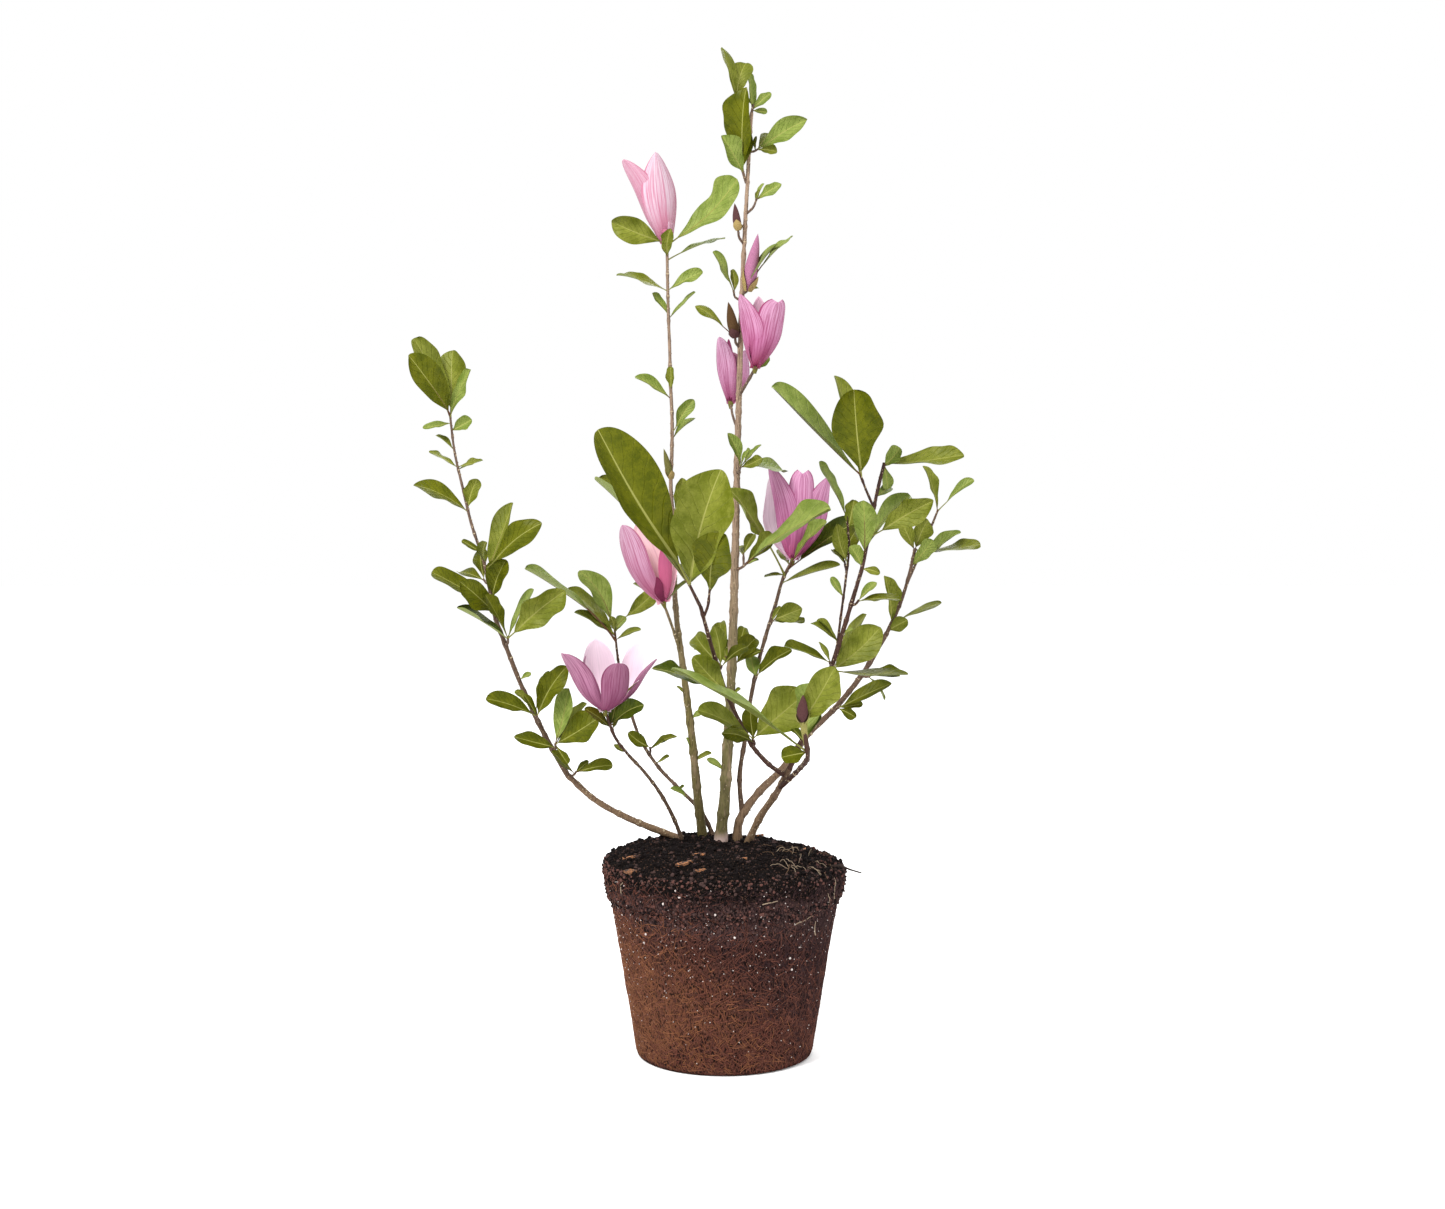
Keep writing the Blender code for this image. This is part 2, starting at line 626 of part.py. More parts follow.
mass("bloom_six_shoot", "left_front_stem", TIP,
     [(-113, 350, -56), (-125, 368, -72), (-129, 386, -80)], 1.6, 1.6,
     [(0.72, 55, 25, 49, 15), (0.64, -51, 10, 39, 9), (0.64, 31, 0, 16, 5), (0.09, -59, 0, 16, 6),
      (0.71, 15, -40, 42, 20)], bloom=(0, 12, 76, 31, 58, 215, 0))
mass("left_back_tuft", "left_back_stem", 339, [(-80, 346, 88)], 1.4, 1.2,
     [(TIP, -54, 5, 31, 15), (0.92, 66, 0, 34, 8), (0.74, 54, 20, 22, 5)])
mass("left_back_crown", "left_back_stem", TIP,
     [(-110, 420, 112), (-116, 445, 114), (-119, 479, 116)], 1.55, 1.3,
     [(0.84, 67, 0, 32, 8), (0.88, -59, 8, 56, 11), (TIP, -30, 6, 78, 23, 0.2),
      (0.89, -47, -12, 79, 17), (0.82, -49, 18, 140, 15, 0.45), (0.99, 48, 8, 67, 19, 0.36),
      (0.94, -11, 40, 26, 9), (0.92, 27, -30, 24, 11)])

# Right stem and the upright bough on it

mass("right_low_tuft", "right_stem", 386, [(128, 390, 70)], 1.5, 1.3,
     [(0.98, 64, 6, 67, 21, 0.14, -16), (0.98, 83, -8, 29, 10), (0.87, 118, 0, 23, 12)])
mass("right_middle_tuft", "right_stem", 425, [(162, 424, 84)], 1.5, 1.3,
     [(0.95, 89, 4, 35, 8), (0.84, 146, -15, 35, 7), (0.98, 83, 8, 37, 11)], twigs=1)
mass("right_crown", "right_stem", TIP, [(197, 508, 112), (206, 538, 116), (212, 565, 118)], 2.45, 2.0,
     [(0.02, 60, 12, 26, 16), (0.11, -9, 8, 57, 18), (0.1, 66, 5, 63, 9, 0.3),
      (0.97, -25, 10, 42, 17), (0.78, 38, 10, 41, 18), (0.88, 59, 4, 63, 15, 0.2, -22),
      (0.98, 84, 8, 75, 13, 0.2, -26), (TIP, 26, -40, 41, 23)])
mass("right_far_shoot", "right_crown", 530,
     [(222, 570, 132), (230, 590, 134), (237, 607, 134)], 1.5, 1.3,
     [(0.98, -18, 4, 56, 13), (TIP, 48, 4, 55, 11, 0.35)])
mass("upright_low_tuft", "right_upright_bough", 420, [(38, 425, 46)], 1.5, 1.3,
     [(TIP, 52, 10, 50, 14, 0.14, 44), (0.7, -13, -30, 28, 17)])
mass("upright_high_tuft", "right_upright_bough", 481, [(55, 486, 60)], 1.5, 1.3,
     [(TIP, 67, 8, 37, 21), (0.95, 89, 0, 37, 11), (0.95, 33, -20, 20, 6)])
mass("bloom_four_shoot", "right_upright_bough", TIP, [(68, 536, 76), (77, 552, 79)], 1.95, 1.9,
     [(0.43, 72, 10, 70, 12), (0.76, 36, 25, 78, 17, 0.3), (0.62, -31, 20, 143, 19, 0.5),
      (0.78, 56, -6, 98, 22, 0.25), (0.64, -95, 10, 24, 4), (0.85, -23, -60, 41, 15)],
      bloom=(2, 4, 100, 31, 38, -115, 4))

# Front right stem, with its front bough, the nearest shoot, and the dark bough

mass("front_low_tuft", "front_left_bough", 349, [(33, 356, -92)], 1.5, 1.4,
     [(0.98, -58, 12, 76, 19), (TIP, 48, 10, 78, 47), (0.71, -5, -10, 37, 18),
      (0.6, -68, 40, 49, 16)])
mass("front_middle_tuft", "front_left_bough", 400, [(6, 405, -124)], 1.5, 1.3,
     [(0.71, -69, 6, 87, 13, 0.3), (0.99, -41, 20, 60, 25)])
mass("front_high_tuft", "front_left_bough", 430, [(-1, 436, -122)], 1.5, 1.3,
     [(0.98, -10, -20, 44, 16), (0.84, -43, -35, 50, 18), (0.85, 55, -30, 38, 13)], twigs=1)
mass("front_crown_left", "front_left_bough", TIP, [(-31, 514, -177), (-37, 526, -180)], 1.8, 1.6,
     [(TIP, 15, 12, 126, 58, 0.12), (0.97, -30, 10, 186, 56, 0.2), (0.95, -42, -12, 148, 26, 0.1),
      (0.93, 12, -70, 48, 27)])
mass("front_crown_right", "front_left_bough", 492, [(-16, 509, -176), (-14, 520, -178)], 1.5, 1.4,
     [(TIP, 12, 34, 76, 41, 0.14), (0.77, 19, -56, 50, 18)])
mass("nearest_shoot", "front_right_stem", 306,
     [(82, 320, -62), (90, 328, -115), (94, 337, -160), (90, 356, -176), (88, 375, -182)], 2.9, 2.5,
     [(0.8, -57.5, 8, 168, 16, 0.14, 12), (TIP, 29, 10, 68, 34), (0.8, -100, 10, 28, 20),
      (0.88, 5, -25, 62, 30)], twigs=1, bud_at=(TIP, 0, 0, 32, 12))
mass("dark_low_tuft", "dark_bough", 436, [(118, 440, -40)], 1.5, 1.3,
     [(0.98, -70, 8, 54, 11), (0.99, -29, 0, 26, 6)])
mass("dark_back_leaves", "dark_bough", 428, [(122, 431, -12)], 1.5, 1.3,
     [(0.99, 48, -4, 71, 34), (TIP, 92, 4, 83, 13, 0.2, -14), (TIP, 32, -25, 77, 12)])
mass("parallel_shoot", "dark_bough", 458,
     [(129, 482, -10), (134, 519, -6), (139, 560, -2), (137, 600, 2)], 1.5, 1.2,
     [(0.03, -55, 10, 37, 8), (0.02, -43, -10, 34, 6), (0.38, -31, 0, 26, 9), (0.64, -16, 10, 46, 17),
      (0.99, -26, 0, 69, 12), (0.9, 12, -14, 34, 16)], twigs=1)
mass("dark_high_tuft", "dark_bough", 503, [(150, 508, -30)], 1.5, 1.3,
     [(0.98, 44, 5, 28, 9), (0.83, 87, 8, 48, 11)], twigs=1)
mass("dark_crown_low", "dark_bough", TIP, [(160, 574, -17), (164, 597, -16)], 2.3, 2.1,
     [(0.02, 102, 14, 21, 9), (0.27, -3, 22, 66, 26), (0.62, 59, 12, 83, 27, 0.28, -12),
      (0.47, 43, -30, 85, 19), (0.06, -31, 4, 27, 15)])
mass("dark_crown_top", "dark_crown_low", TIP, [(173, 640, -14), (178, 659, -13)], 2.1, 2.0,
     [(TIP, 83, 8, 87, 22, 0.15, -16), (0.92, 40, 0, 28, 17), (TIP, 170, -16, 29, 13),
      (0.38, 52, -50, 31, 12)])
mass("dark_side_shoot", "dark_crown_top", 612, [(158, 629, -22), (151, 647, -26)], 1.5, 1.3,
     [(0.85, -6, 12, 99, 51, 0.16), (TIP, -13, -14, 114, 25, 0.1), (TIP, -45, 5, 136, 21, 0.1, -7)])

for name, leaves, twigs, bloom, bud_at in MASSES:
    grown = grow(name, leaves, twigs, bloom, bud_at)
    TREES[name] += [tree_of(shape) for shape in grown]
    fused(name, [SHAPES[name], *grown], PINK_BLOOM if bloom else GREEN_LEAF)
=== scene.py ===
"""Looks of a magnolia shrub that stands on its bare root ball, made round the frame of its solids.

Sizes are in millimetres up to the moment a mesh is made.
"""
import math
import random

import bmesh
import bpy
import numpy as np
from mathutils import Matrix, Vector, noise
from mathutils.bvhtree import BVHTree


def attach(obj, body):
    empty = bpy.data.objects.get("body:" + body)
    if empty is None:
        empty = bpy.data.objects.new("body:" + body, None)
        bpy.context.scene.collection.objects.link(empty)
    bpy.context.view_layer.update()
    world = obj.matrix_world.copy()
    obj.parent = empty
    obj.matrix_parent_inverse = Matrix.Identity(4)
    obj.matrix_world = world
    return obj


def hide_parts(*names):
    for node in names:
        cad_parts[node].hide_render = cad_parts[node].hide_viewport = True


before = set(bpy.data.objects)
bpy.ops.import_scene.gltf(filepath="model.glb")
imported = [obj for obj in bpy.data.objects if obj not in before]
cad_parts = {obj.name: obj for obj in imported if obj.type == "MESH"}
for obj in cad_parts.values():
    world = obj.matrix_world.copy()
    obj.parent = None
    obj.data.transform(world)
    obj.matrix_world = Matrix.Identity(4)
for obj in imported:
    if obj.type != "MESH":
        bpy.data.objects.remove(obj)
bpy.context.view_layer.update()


# The view: a long lens at the height of the crown's middle, looking a little down.
# The stems' and leaves' places are told as they show from here.

MM = 0.001
EYE = Vector((0, -2600, 750))
AIM = Vector((0, 0, 503))
SIGHT = (AIM - EYE).normalized()
UPRIGHT = Vector((1, 0, 0)).cross(SIGHT)

bpy.ops.object.select_all(action="DESELECT")
bpy.ops.object.camera_add(location=EYE * MM, rotation=SIGHT.to_track_quat("-Z", "Y").to_euler())
camera = bpy.context.object
camera.data.sensor_width = 36
camera.data.lens = 59.16
bpy.context.scene.camera = camera
bpy.context.scene.view_settings.view_transform = "Standard"


# The studio: a plain pale floor under an even white sky, with a soft window on the left

def plain(name, colour, roughness):
    """A material of one colour all over."""
    material = bpy.data.materials.new(name)
    material.use_nodes = True
    shader = material.node_tree.nodes["Principled BSDF"]
    shader.inputs["Base Color"].default_value = (*colour, 1)
    shader.inputs["Roughness"].default_value = roughness
    shader.inputs["Specular IOR Level"].default_value = 0.1
    return material


bpy.ops.mesh.primitive_plane_add(size=12)
floor = bpy.context.object
floor.name = "studio_floor"
floor.data.materials.append(plain("studio paper", (1, 1, 1), 0.9))

sky = bpy.data.worlds.new("studio sky")
sky.use_nodes = True
sky.node_tree.nodes["Background"].inputs["Color"].default_value = (1, 1, 1, 1)
sky.node_tree.nodes["Background"].inputs["Strength"].default_value = 1.0
bpy.context.scene.world = sky

for side, front, height, wide, power in ((-1.3, -1.7, 2.6, 0.9, 105), (1.9, -1.3, 1.6, 1.2, 22),
                                         (0.5, 2.1, 2.4, 1.5, 45)):
    lamp_at = Vector((side, front, height))
    aim = (AIM * MM - lamp_at).to_track_quat("-Z", "Y").to_euler()
    bpy.ops.object.light_add(type="AREA", location=lamp_at, rotation=aim)
    bpy.context.object.data.size = wide
    bpy.context.object.data.energy = power


# Finishes, built from sums on values that change over a surface

class Value:
    """A number that changes over a surface. A sum or product of values adds a Math node."""

    def __init__(self, finish, socket):
        self.finish, self.socket = finish, socket

    def maths(self, operation, *numbers):
        return self.finish.node("ShaderNodeMath", {"operation": operation}, dict(enumerate(numbers)))

    def __add__(self, other):
        return self.maths("ADD", self, other)

    def __sub__(self, other):
        return self.maths("SUBTRACT", self, other)

    def __rsub__(self, other):
        return self.maths("SUBTRACT", other, self)

    def __mul__(self, other):
        return self.maths("MULTIPLY", self, other)

    def __pow__(self, power):
        return self.maths("POWER", self, power)

    def __mod__(self, other):
        return self.maths("FLOORED_MODULO", self, other)

    def __abs__(self):
        return self.maths("ABSOLUTE", self)

    __radd__ = __add__
    __rmul__ = __mul__

    def at_least(self, least):
        return self.maths("MAXIMUM", self, least)

    def from_to(self, low, high):
        """Smoothly 0 where this is low and 1 where it is high."""
        return self.finish.node("ShaderNodeMapRange", {"interpolation_type": "SMOOTHSTEP"},
                                {"Value": self, "From Min": low, "From Max": high})


class Finish:
    """A surface finish: one Principled shader, and the nodes that vary its colour and relief."""

    def __init__(self, name, roughness, **sockets):
        self.material = bpy.data.materials.new(name)
        self.material.use_nodes = True
        self.shader = self.material.node_tree.nodes["Principled BSDF"]
        self.shader.inputs["Roughness"].default_value = roughness
        for socket, amount in sockets.items():
            self.shader.inputs[socket.replace("_", " ")].default_value = amount

    def node(self, kind, settings, sockets, output=0):
        made = self.material.node_tree.nodes.new(kind)
        for name, setting in settings.items():
            setattr(made, name, setting)
        for name, amount in sockets.items():
            if isinstance(amount, Value):
                self.material.node_tree.links.new(amount.socket, made.inputs[name])
            else:
                made.inputs[name].default_value = amount
        return Value(self, made.outputs[output])

    def place(self, stretch=(1, 1, 1), turn=(0, 0, 0)):
        """Where a point lies on the object, in metres, stretched and turned."""
        spot = self.node("ShaderNodeTexCoord", {}, {}, "Object")
        return self.node("ShaderNodeMapping", {}, {"Vector": spot, "Rotation": turn, "Scale": stretch})

    def pattern(self, stretch=(1, 1, 1)):
        """Where a point lies on its leaf or petal: across, then along, each from 0 to 1."""
        spot = self.node("ShaderNodeUVMap", {"uv_map": "pattern"}, {})
        return self.node("ShaderNodeMapping", {}, {"Vector": spot, "Scale": stretch})

    def part(self, spot, axis):
        return self.node("ShaderNodeSeparateXYZ", {}, {0: spot}, axis)

    def noise(self, spot, scale, detail=3.0, roughness=0.6):
        return self.node("ShaderNodeTexNoise", {},
                         {"Vector": spot, "Scale": scale, "Detail": detail, "Roughness": roughness})

    def mix(self, share, first, second):
        """One colour going over into another."""
        first, second = ((*colour, 1) if isinstance(colour, tuple) else colour
                         for colour in (first, second))
        return self.node("ShaderNodeMix", {"data_type": "RGBA"}, {0: share, 6: first, 7: second}, 2)

    def coat(self, colour, height=None, depth=0.5):
        """Puts on the colour, and the relief, whose height is in millimetres."""
        links = self.material.node_tree.links
        links.new(colour.socket, self.shader.inputs["Base Color"])
        if height:
            bump = self.node("ShaderNodeBump", {}, {"Height": height, "Distance": MM, "Strength": depth})
            links.new(bump.socket, self.shader.inputs["Normal"])
        return self.material


# The root ball: damp compost and fine roots, moulded by the nursery pot that it came out of.
# The pot's wider rim has left a band round the top, with a loose crumbly mound within it.

GROUND = 231
BALL_TURNS = 216
BALL_ASIDE = 2
PROFILE = ((0, 0), (93, 0), (97, 2), (98.2, 6), (112, 92), (125.5, 174), (126.5, 179), (130, 182),
           (132, 189), (133, 200), (133.8, 208), (132.5, 213), (128, 217.5), (118, 220), (104, 224),
           (80, 231), (40, 233), (0, 234))
PROFILE_STEP = 2.2


def taken_up(name, data):
    """A new object of this mesh or curve, alone selected and ready for operators."""
    piece = bpy.data.objects.new(name, data)
    bpy.context.collection.objects.link(piece)
    bpy.ops.object.select_all(action="DESELECT")
    piece.select_set(True)
    bpy.context.view_layer.objects.active = piece
    return piece


def planted(piece, nodes):
    """The piece as a part of the plant, in place of these solids."""
    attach(piece, "root")
    if nodes:
        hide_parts(*nodes)


def turned(name, profile, step, turns):
    """A solid of revolution, spun from a profile of radii and heights that is filled in finely."""
    points = []
    for (radius, height), (radius_after, height_after) in zip(profile, profile[1:]):
        parts = max(1, round(math.hypot(radius_after - radius, height_after - height) / step))
        for part in range(parts):
            share = part / parts
            points.append(Vector((radius + (radius_after - radius) * share, 0,
                                  height + (height_after - height) * share)) * MM)
    points.append(Vector((profile[-1][0], 0, profile[-1][1])) * MM)
    mesh = bpy.data.meshes.new(name)
    mesh.from_pydata(points, [(index, index + 1) for index in range(len(points) - 1)], [])
    piece = taken_up(name, mesh)
    bpy.ops.object.mode_set(mode="EDIT")
    bpy.ops.mesh.select_all(action="SELECT")
    bpy.ops.mesh.spin(steps=turns, angle=2 * math.pi, center=(0, 0, 0), axis=(0, 0, 1))
    bpy.ops.mesh.select_all(action="SELECT")
    bpy.ops.mesh.remove_doubles(threshold=0.00001)
    bpy.ops.mesh.normals_make_consistent(inside=False)
    bpy.ops.object.mode_set(mode="OBJECT")
    bpy.ops.object.shade_smooth()
    return piece


FIRM_LUMPS = ((0.9, 30), (0.55, 7), (0.3, 2.6))
RIM_LUMPS = ((2.5, 17), (2.1, 6.5), (1.3, 3))
RIM_FOOT, LOOSE_FOOT = 176, 212


def lump(spot, size):
    """Even lumps of this size, from -1 to 1."""
    return noise.noise(spot / (size * MM))


def lumps(spot, heights_and_sizes):
    """Lumps of several sizes on one another."""
    return sum(height * lump(spot, size) for height, size in heights_and_sizes)


def compost_finish():
    """Red-brown felt of fine roots, worn to orange on the left, black and damp to the right."""
    finish = Finish("root felt and compost", 0.96, Specular_IOR_Level=0.04)
    spot = finish.place()
    across, up = finish.part(spot, 0), finish.part(spot, 2)
    blotch = finish.noise(spot, 22, 4)
    grain = finish.noise(spot, 420, 2, 0.7)
    strands = (finish.noise(finish.place((640, 640, 260), (0, 0.62, 0)), 1, 2)
               + finish.noise(finish.place((640, 640, 260), (0, -0.7, 0)), 1, 2)) * 0.5
    worn = (across * -4.0 + blotch * 1.8 - (up - 0.1) * (up - 0.1) * 75 - 0.45).from_to(0, 0.9)
    damp = (across * 3.2 + up * 7.0 + blotch * 1.8).from_to(1.15, 2.0)
    band = (up + across * 0.08 + blotch * 0.03).from_to(0.158, 0.185)
    top = (up + blotch * 0.02).from_to(0.198, 0.214)
    felt = finish.mix(worn, (0.078, 0.027, 0.019), (0.150, 0.058, 0.031))
    felt = finish.mix(damp * 0.85, felt, (0.030, 0.013, 0.013))
    felt = finish.mix(band * 0.8, felt, (0.060, 0.034, 0.032))
    felt = finish.mix(top, felt, (0.007, 0.005, 0.0045))
    felt = finish.mix(strands.from_to(0.44, 0.54), finish.mix(0.92, felt, (0.002, 0.0015, 0.0015)), felt)
    felt = finish.mix(grain.from_to(0.60, 0.68) * 0.45, felt, (0.20, 0.105, 0.072))
    return finish.coat(felt, strands * 2.2 + grain * 0.9, 1.0)


ball = turned("root_ball_body", PROFILE, PROFILE_STEP, BALL_TURNS)
outward = [vertex.normal.copy() for vertex in ball.data.vertices]
for vertex, out in zip(ball.data.vertices, outward):
    spot = vertex.co.copy()
    up = spot.z / MM
    if up < 1:
        continue
    firm = min(1, up / 25)
    push = firm * lumps(spot, FIRM_LUMPS)
    rim = max(0, min(1, (up - RIM_FOOT) / 12))
    push += rim * lumps(spot, RIM_LUMPS)
    loose = max(0, min(1, (up - LOOSE_FOOT) / 8))
    push += loose * (2.6 * abs(lump(spot, 11)) + 2.4 * lump(spot, 5))
    tilt = Vector((BALL_ASIDE * MM, 0, -0.045 * loose * spot.x))
    vertex.co = spot + out * (push * MM) + tilt
ball.data.materials.append(compost_finish())
planted(ball, ["root_ball"])
BALL_TREE = BVHTree.FromPolygons([vertex.co / MM for vertex in ball.data.vertices],
                                 [face.vertices[:] for face in ball.data.polygons])
FAR_OUT, HIGH_UP = 200, 300


def on_side(turn, height):
    """The place and the outward direction on the ball's side, this far round and up."""
    out = Vector((math.cos(turn), math.sin(turn), 0))
    place, facing, _, _ = BALL_TREE.ray_cast(out * FAR_OUT + Vector((0, 0, height)), -out)
    return place, facing


def on_top(across, depth):
    """The place and the upward direction on the ball's top."""
    place, facing, _, _ = BALL_TREE.ray_cast(Vector((across, depth, HIGH_UP)), Vector((0, 0, -1)))
    return place, facing


class Heap:
    """Many small shapes joined in one mesh, each face with its own finish and pattern place."""

    def __init__(self):
        self.points, self.faces, self.finishes, self.places = [], [], [], []

    def add(self, rings, finishes, places=None, pointed=False):
        """A closed skin through rings of points, which ends flat, or in one point if pointed.

        finishes is one number for the whole skin, or one for each side of a ring.
        """
        start, sides = len(self.points), len(rings[0])
        if isinstance(finishes, int):
            finishes = [finishes] * sides
        for ring, spots in zip(rings, places or [[(0, 0)] * sides] * len(rings)):
            self.points += ring
            self.places += spots[:len(ring)]
        self.faces.append(tuple(start + side for side in reversed(range(sides))))
        self.finishes.append(finishes[0])
        for row in range(len(rings) - 1 - pointed):
            low = start + row * sides
            for side in range(sides):
                after = (side + 1) % sides
                self.faces.append((low + side, low + after, low + sides + after, low + sides + side))
                self.finishes.append(finishes[side])
        last = start + (len(rings) - 1 - pointed) * sides
        if pointed:
            for side in range(sides):
                self.faces.append((last + side, last + (side + 1) % sides, last + sides))
                self.finishes.append(finishes[side])
        else:
            self.faces.append(tuple(range(last, last + sides)))
            self.finishes.append(finishes[-1])

    def piece(self, name, finishes, slot, nodes=(), crease=50):
        """The joined mesh as one piece of the plant, in place of these solids."""
        mesh = bpy.data.meshes.new(name)
        mesh.from_pydata([point * MM for point in self.points], [], self.faces)
        for finish in finishes:
            mesh.materials.append(finish)
        mesh.polygons.foreach_set("material_index", self.finishes)
        corners = np.empty(len(mesh.loops), dtype=np.int32)
        mesh.loops.foreach_get("vertex_index", corners)
        layer = mesh.uv_layers.new(name="pattern")
        layer.data.foreach_set("uv", np.array(self.places, dtype=np.float32)[corners].ravel())
        form = bmesh.new()
        form.from_mesh(mesh)
        bmesh.ops.recalc_face_normals(form, faces=form.faces)
        form.to_mesh(mesh)
        form.free()
        piece = taken_up(name, mesh)
        bpy.ops.object.shade_smooth_by_angle(angle=math.radians(crease))
        planted(piece, nodes)


def spoke(across, beside, turn):
    """The direction this far round from across towards beside, in radians."""
    return across * math.cos(turn) + beside * math.sin(turn)


def hoops(path, radii, sides):
    """Rings of points round a path, each square to it."""
    rings = []
    across = Vector((1, 0.3, 0.1))
    for index, (centre, radius) in enumerate(zip(path, radii)):
        ahead = (path[min(index + 1, len(path) - 1)] - path[max(index - 1, 0)]).normalized()
        across = (across - ahead * across.dot(ahead)).normalized()
        beside = ahead.cross(across)
        rings.append([centre + radius * spoke(across, beside, 2 * math.pi * side / sides)
                      for side in range(sides)])
    return rings


# The felt: thousands of fine roots that ran down and round the inside of the pot, criss-cross,
# rusty where they are dry, and nearly black where the compost is damp.

def shade(colour, factor, lift=0):
    """The colour made darker or lighter by this factor, then lifted."""
    return tuple(min(1, part * factor + lift) for part in colour)


def flecked(colours):
    """Dull finishes with darker flecks, one for each name and its colour."""
    made = []
    for name, colour in colours.items():
        finish = Finish(name, 0.85, Specular_IOR_Level=0.08)
        flecks = finish.noise(finish.place(), 900, 1)
        made.append(finish.coat(finish.mix(flecks, colour, shade(colour, 0.45))))
    return made


FELT_ROOTS = 11500
FELT_FOOT, FELT_TOP = 3, 214
ROOT_STEP = 2.6

dice = random.Random("felt")
rusty, dark = Heap(), Heap()
for _ in range(FELT_ROOTS):
    turn, height = dice.uniform(0, 2 * math.pi), dice.uniform(FELT_FOOT + 1, FELT_TOP - 1)
    slope = math.radians(dice.choice((1, -1)) * dice.gauss(45, 26))
    curl = dice.uniform(-0.16, 0.16)
    path = []
    for _ in range(dice.choice((3, 4, 4, 5, 5, 6, 9))):
        if not FELT_FOOT < height < FELT_TOP:
            break
        place, facing = on_side(turn, height)
        path.append(place + facing * 0.3)
        turn += ROOT_STEP * math.cos(slope) / place.xy.length
        height += ROOT_STEP * math.sin(slope)
        slope += curl
    if len(path) < 3:
        continue
    thick = dice.uniform(0.26, 0.48)
    wet = (path[0].x * 0.010 + (height - 100) * 0.008 + 0.6 * (height > 172)
           + dice.uniform(-1.1, 1.1))
    skein = rusty if wet < 0.1 else dark
    skein.add(hoops(path, [thick * (1 - 0.6 * index / len(path)) for index in range(len(path))], 3),
              int(wet > -0.8) if wet < 0.1 else int(wet > 0.9))
rusty.piece("rusty_root_felt", flecked({"rusty root": (0.27, 0.108, 0.052),
                                        "red-brown root": (0.170, 0.062, 0.042)}), "compost")
dark.piece("dark_root_felt", flecked({"dark root": (0.105, 0.041, 0.031),
                                      "purplish black root": (0.040, 0.020, 0.021)}), "compost")

# Loose crumbs of compost on the mound and along the edges of the rim's band

def crumb(heap, dice, centre, size, finish, squash=0.8):
    """An angular scrap: two uneven rings between two points."""
    lean = Vector([dice.uniform(-1, 1) for _ in range(3)]).normalized()
    side = lean.orthogonal().normalized()
    other = lean.cross(side)
    rings = []
    for height, wide in ((-0.9, 0.35), (-0.35, 1), (0.4, 0.85)):
        rings.append([centre + size * (lean * height * squash + wide * dice.uniform(0.75, 1.2)
                                       * spoke(side, other, turn * math.pi / 3))
                      for turn in range(6)])
    heap.add([*rings, [centre + lean * size * squash]], finish, pointed=True)


MOUND_RADIUS = 133
MOUND_CRUMBS, BAND_CRUMBS = 2300, 2700

dice = random.Random("crumbs")
crumbs = Heap()
for _ in range(MOUND_CRUMBS):
    turn = dice.uniform(0, 2 * math.pi)
    reach = MOUND_RADIUS * dice.random() ** 0.5
    place, facing = on_top(reach * math.cos(turn), reach * math.sin(turn))
    if place:
        crumb(crumbs, dice, place, dice.uniform(0.7, 3.0), dice.choice((0, 0, 0, 0, 0, 1)))
for _ in range(BAND_CRUMBS):
    height = dice.choice((dice.gauss(181, 5), dice.gauss(216, 3), dice.uniform(170, 220)))
    place, facing = on_side(dice.uniform(0, 2 * math.pi), min(height, 219))
    crumb(crumbs, dice, place + facing * dice.uniform(0, 1.2), dice.uniform(0.5, 2.1),
          dice.choice((0, 0, 1, 1, 2, 2)))
crumbs.piece("compost_crumbs", flecked({"black crumb": (0.008, 0.005, 0.005),
                                        "brown crumb": (0.066, 0.038, 0.034),
                                        "red crumb": (0.125, 0.056, 0.046)}), "compost", crease=30)

# White grains of perlite, pressed into the side, most of them in its upper half

PERLITE_GRAINS = 900
LARGE_GRAINS = 0.035

dice = random.Random("perlite")
perlite = Heap()
for _ in range(PERLITE_GRAINS):
    height = dice.gauss(158, 34) if dice.random() < 0.7 else dice.uniform(12, 212)
    if 8 < height < 216:
        place, facing = on_side(dice.uniform(0, 2 * math.pi), height)
        large = dice.random() < LARGE_GRAINS
        size = dice.uniform(0.9, 1.6) if large else dice.uniform(0.3, 0.75)
        crumb(perlite, dice, place + facing * 0.2, size, 0, squash=1)
perlite.piece("perlite_grains", flecked({"perlite": (0.74, 0.65, 0.61)}), "compost", crease=30)

# Chips of orange bark on the mound, in front of the stems and to their left

CHIPS = ((-102, -40, 20), (-99, -78, -12), (-37, -80, 20), (-26, -52, -20), (-43, -88, 15),
         (-24, -100, 5), (20, -60, 10), (90, 20, 65), (40, 78, 15), (-60, 70, -30), (-20, 96, 40))


def chip_finish():
    finish = Finish("bark chip", 0.8)
    layers = finish.noise(finish.place((300, 300, 1400)), 1, 2)
    return finish.coat(finish.mix(layers.from_to(0.46, 0.6), (0.020, 0.009, 0.006), (0.34, 0.130, 0.042)),
                       layers, 0.8)


dice = random.Random("chips")
chips = Heap()
for across, depth, turn in CHIPS:
    place, facing = on_top(across, depth)
    along = Vector((math.cos(math.radians(turn)), math.sin(math.radians(turn)), 0.1)).normalized()
    beside = facing.cross(along).normalized()
    upper = along.cross(beside)
    if upper.z < 0:
        upper = -upper
    rings = []
    for share, wide in ((-1, 0.35), (-0.6, 0.8), (0, 1), (0.5, 0.85), (1, 0.25)):
        middle = place + along * share * 7.5 + upper * (0.9 + dice.uniform(-0.6, 0.6))
        half = 3.6 * wide * dice.uniform(0.7, 1.2)
        rings.append([middle - beside * half - upper * 1.3, middle + beside * half - upper * 1.3,
                      middle + beside * half * 0.8 + upper * 0.8, middle + upper * 1.5,
                      middle - beside * half * 0.75 + upper * 0.7])
    chips.add(rings, 0)
chips.piece("bark_chips", [chip_finish()], "compost", crease=25)

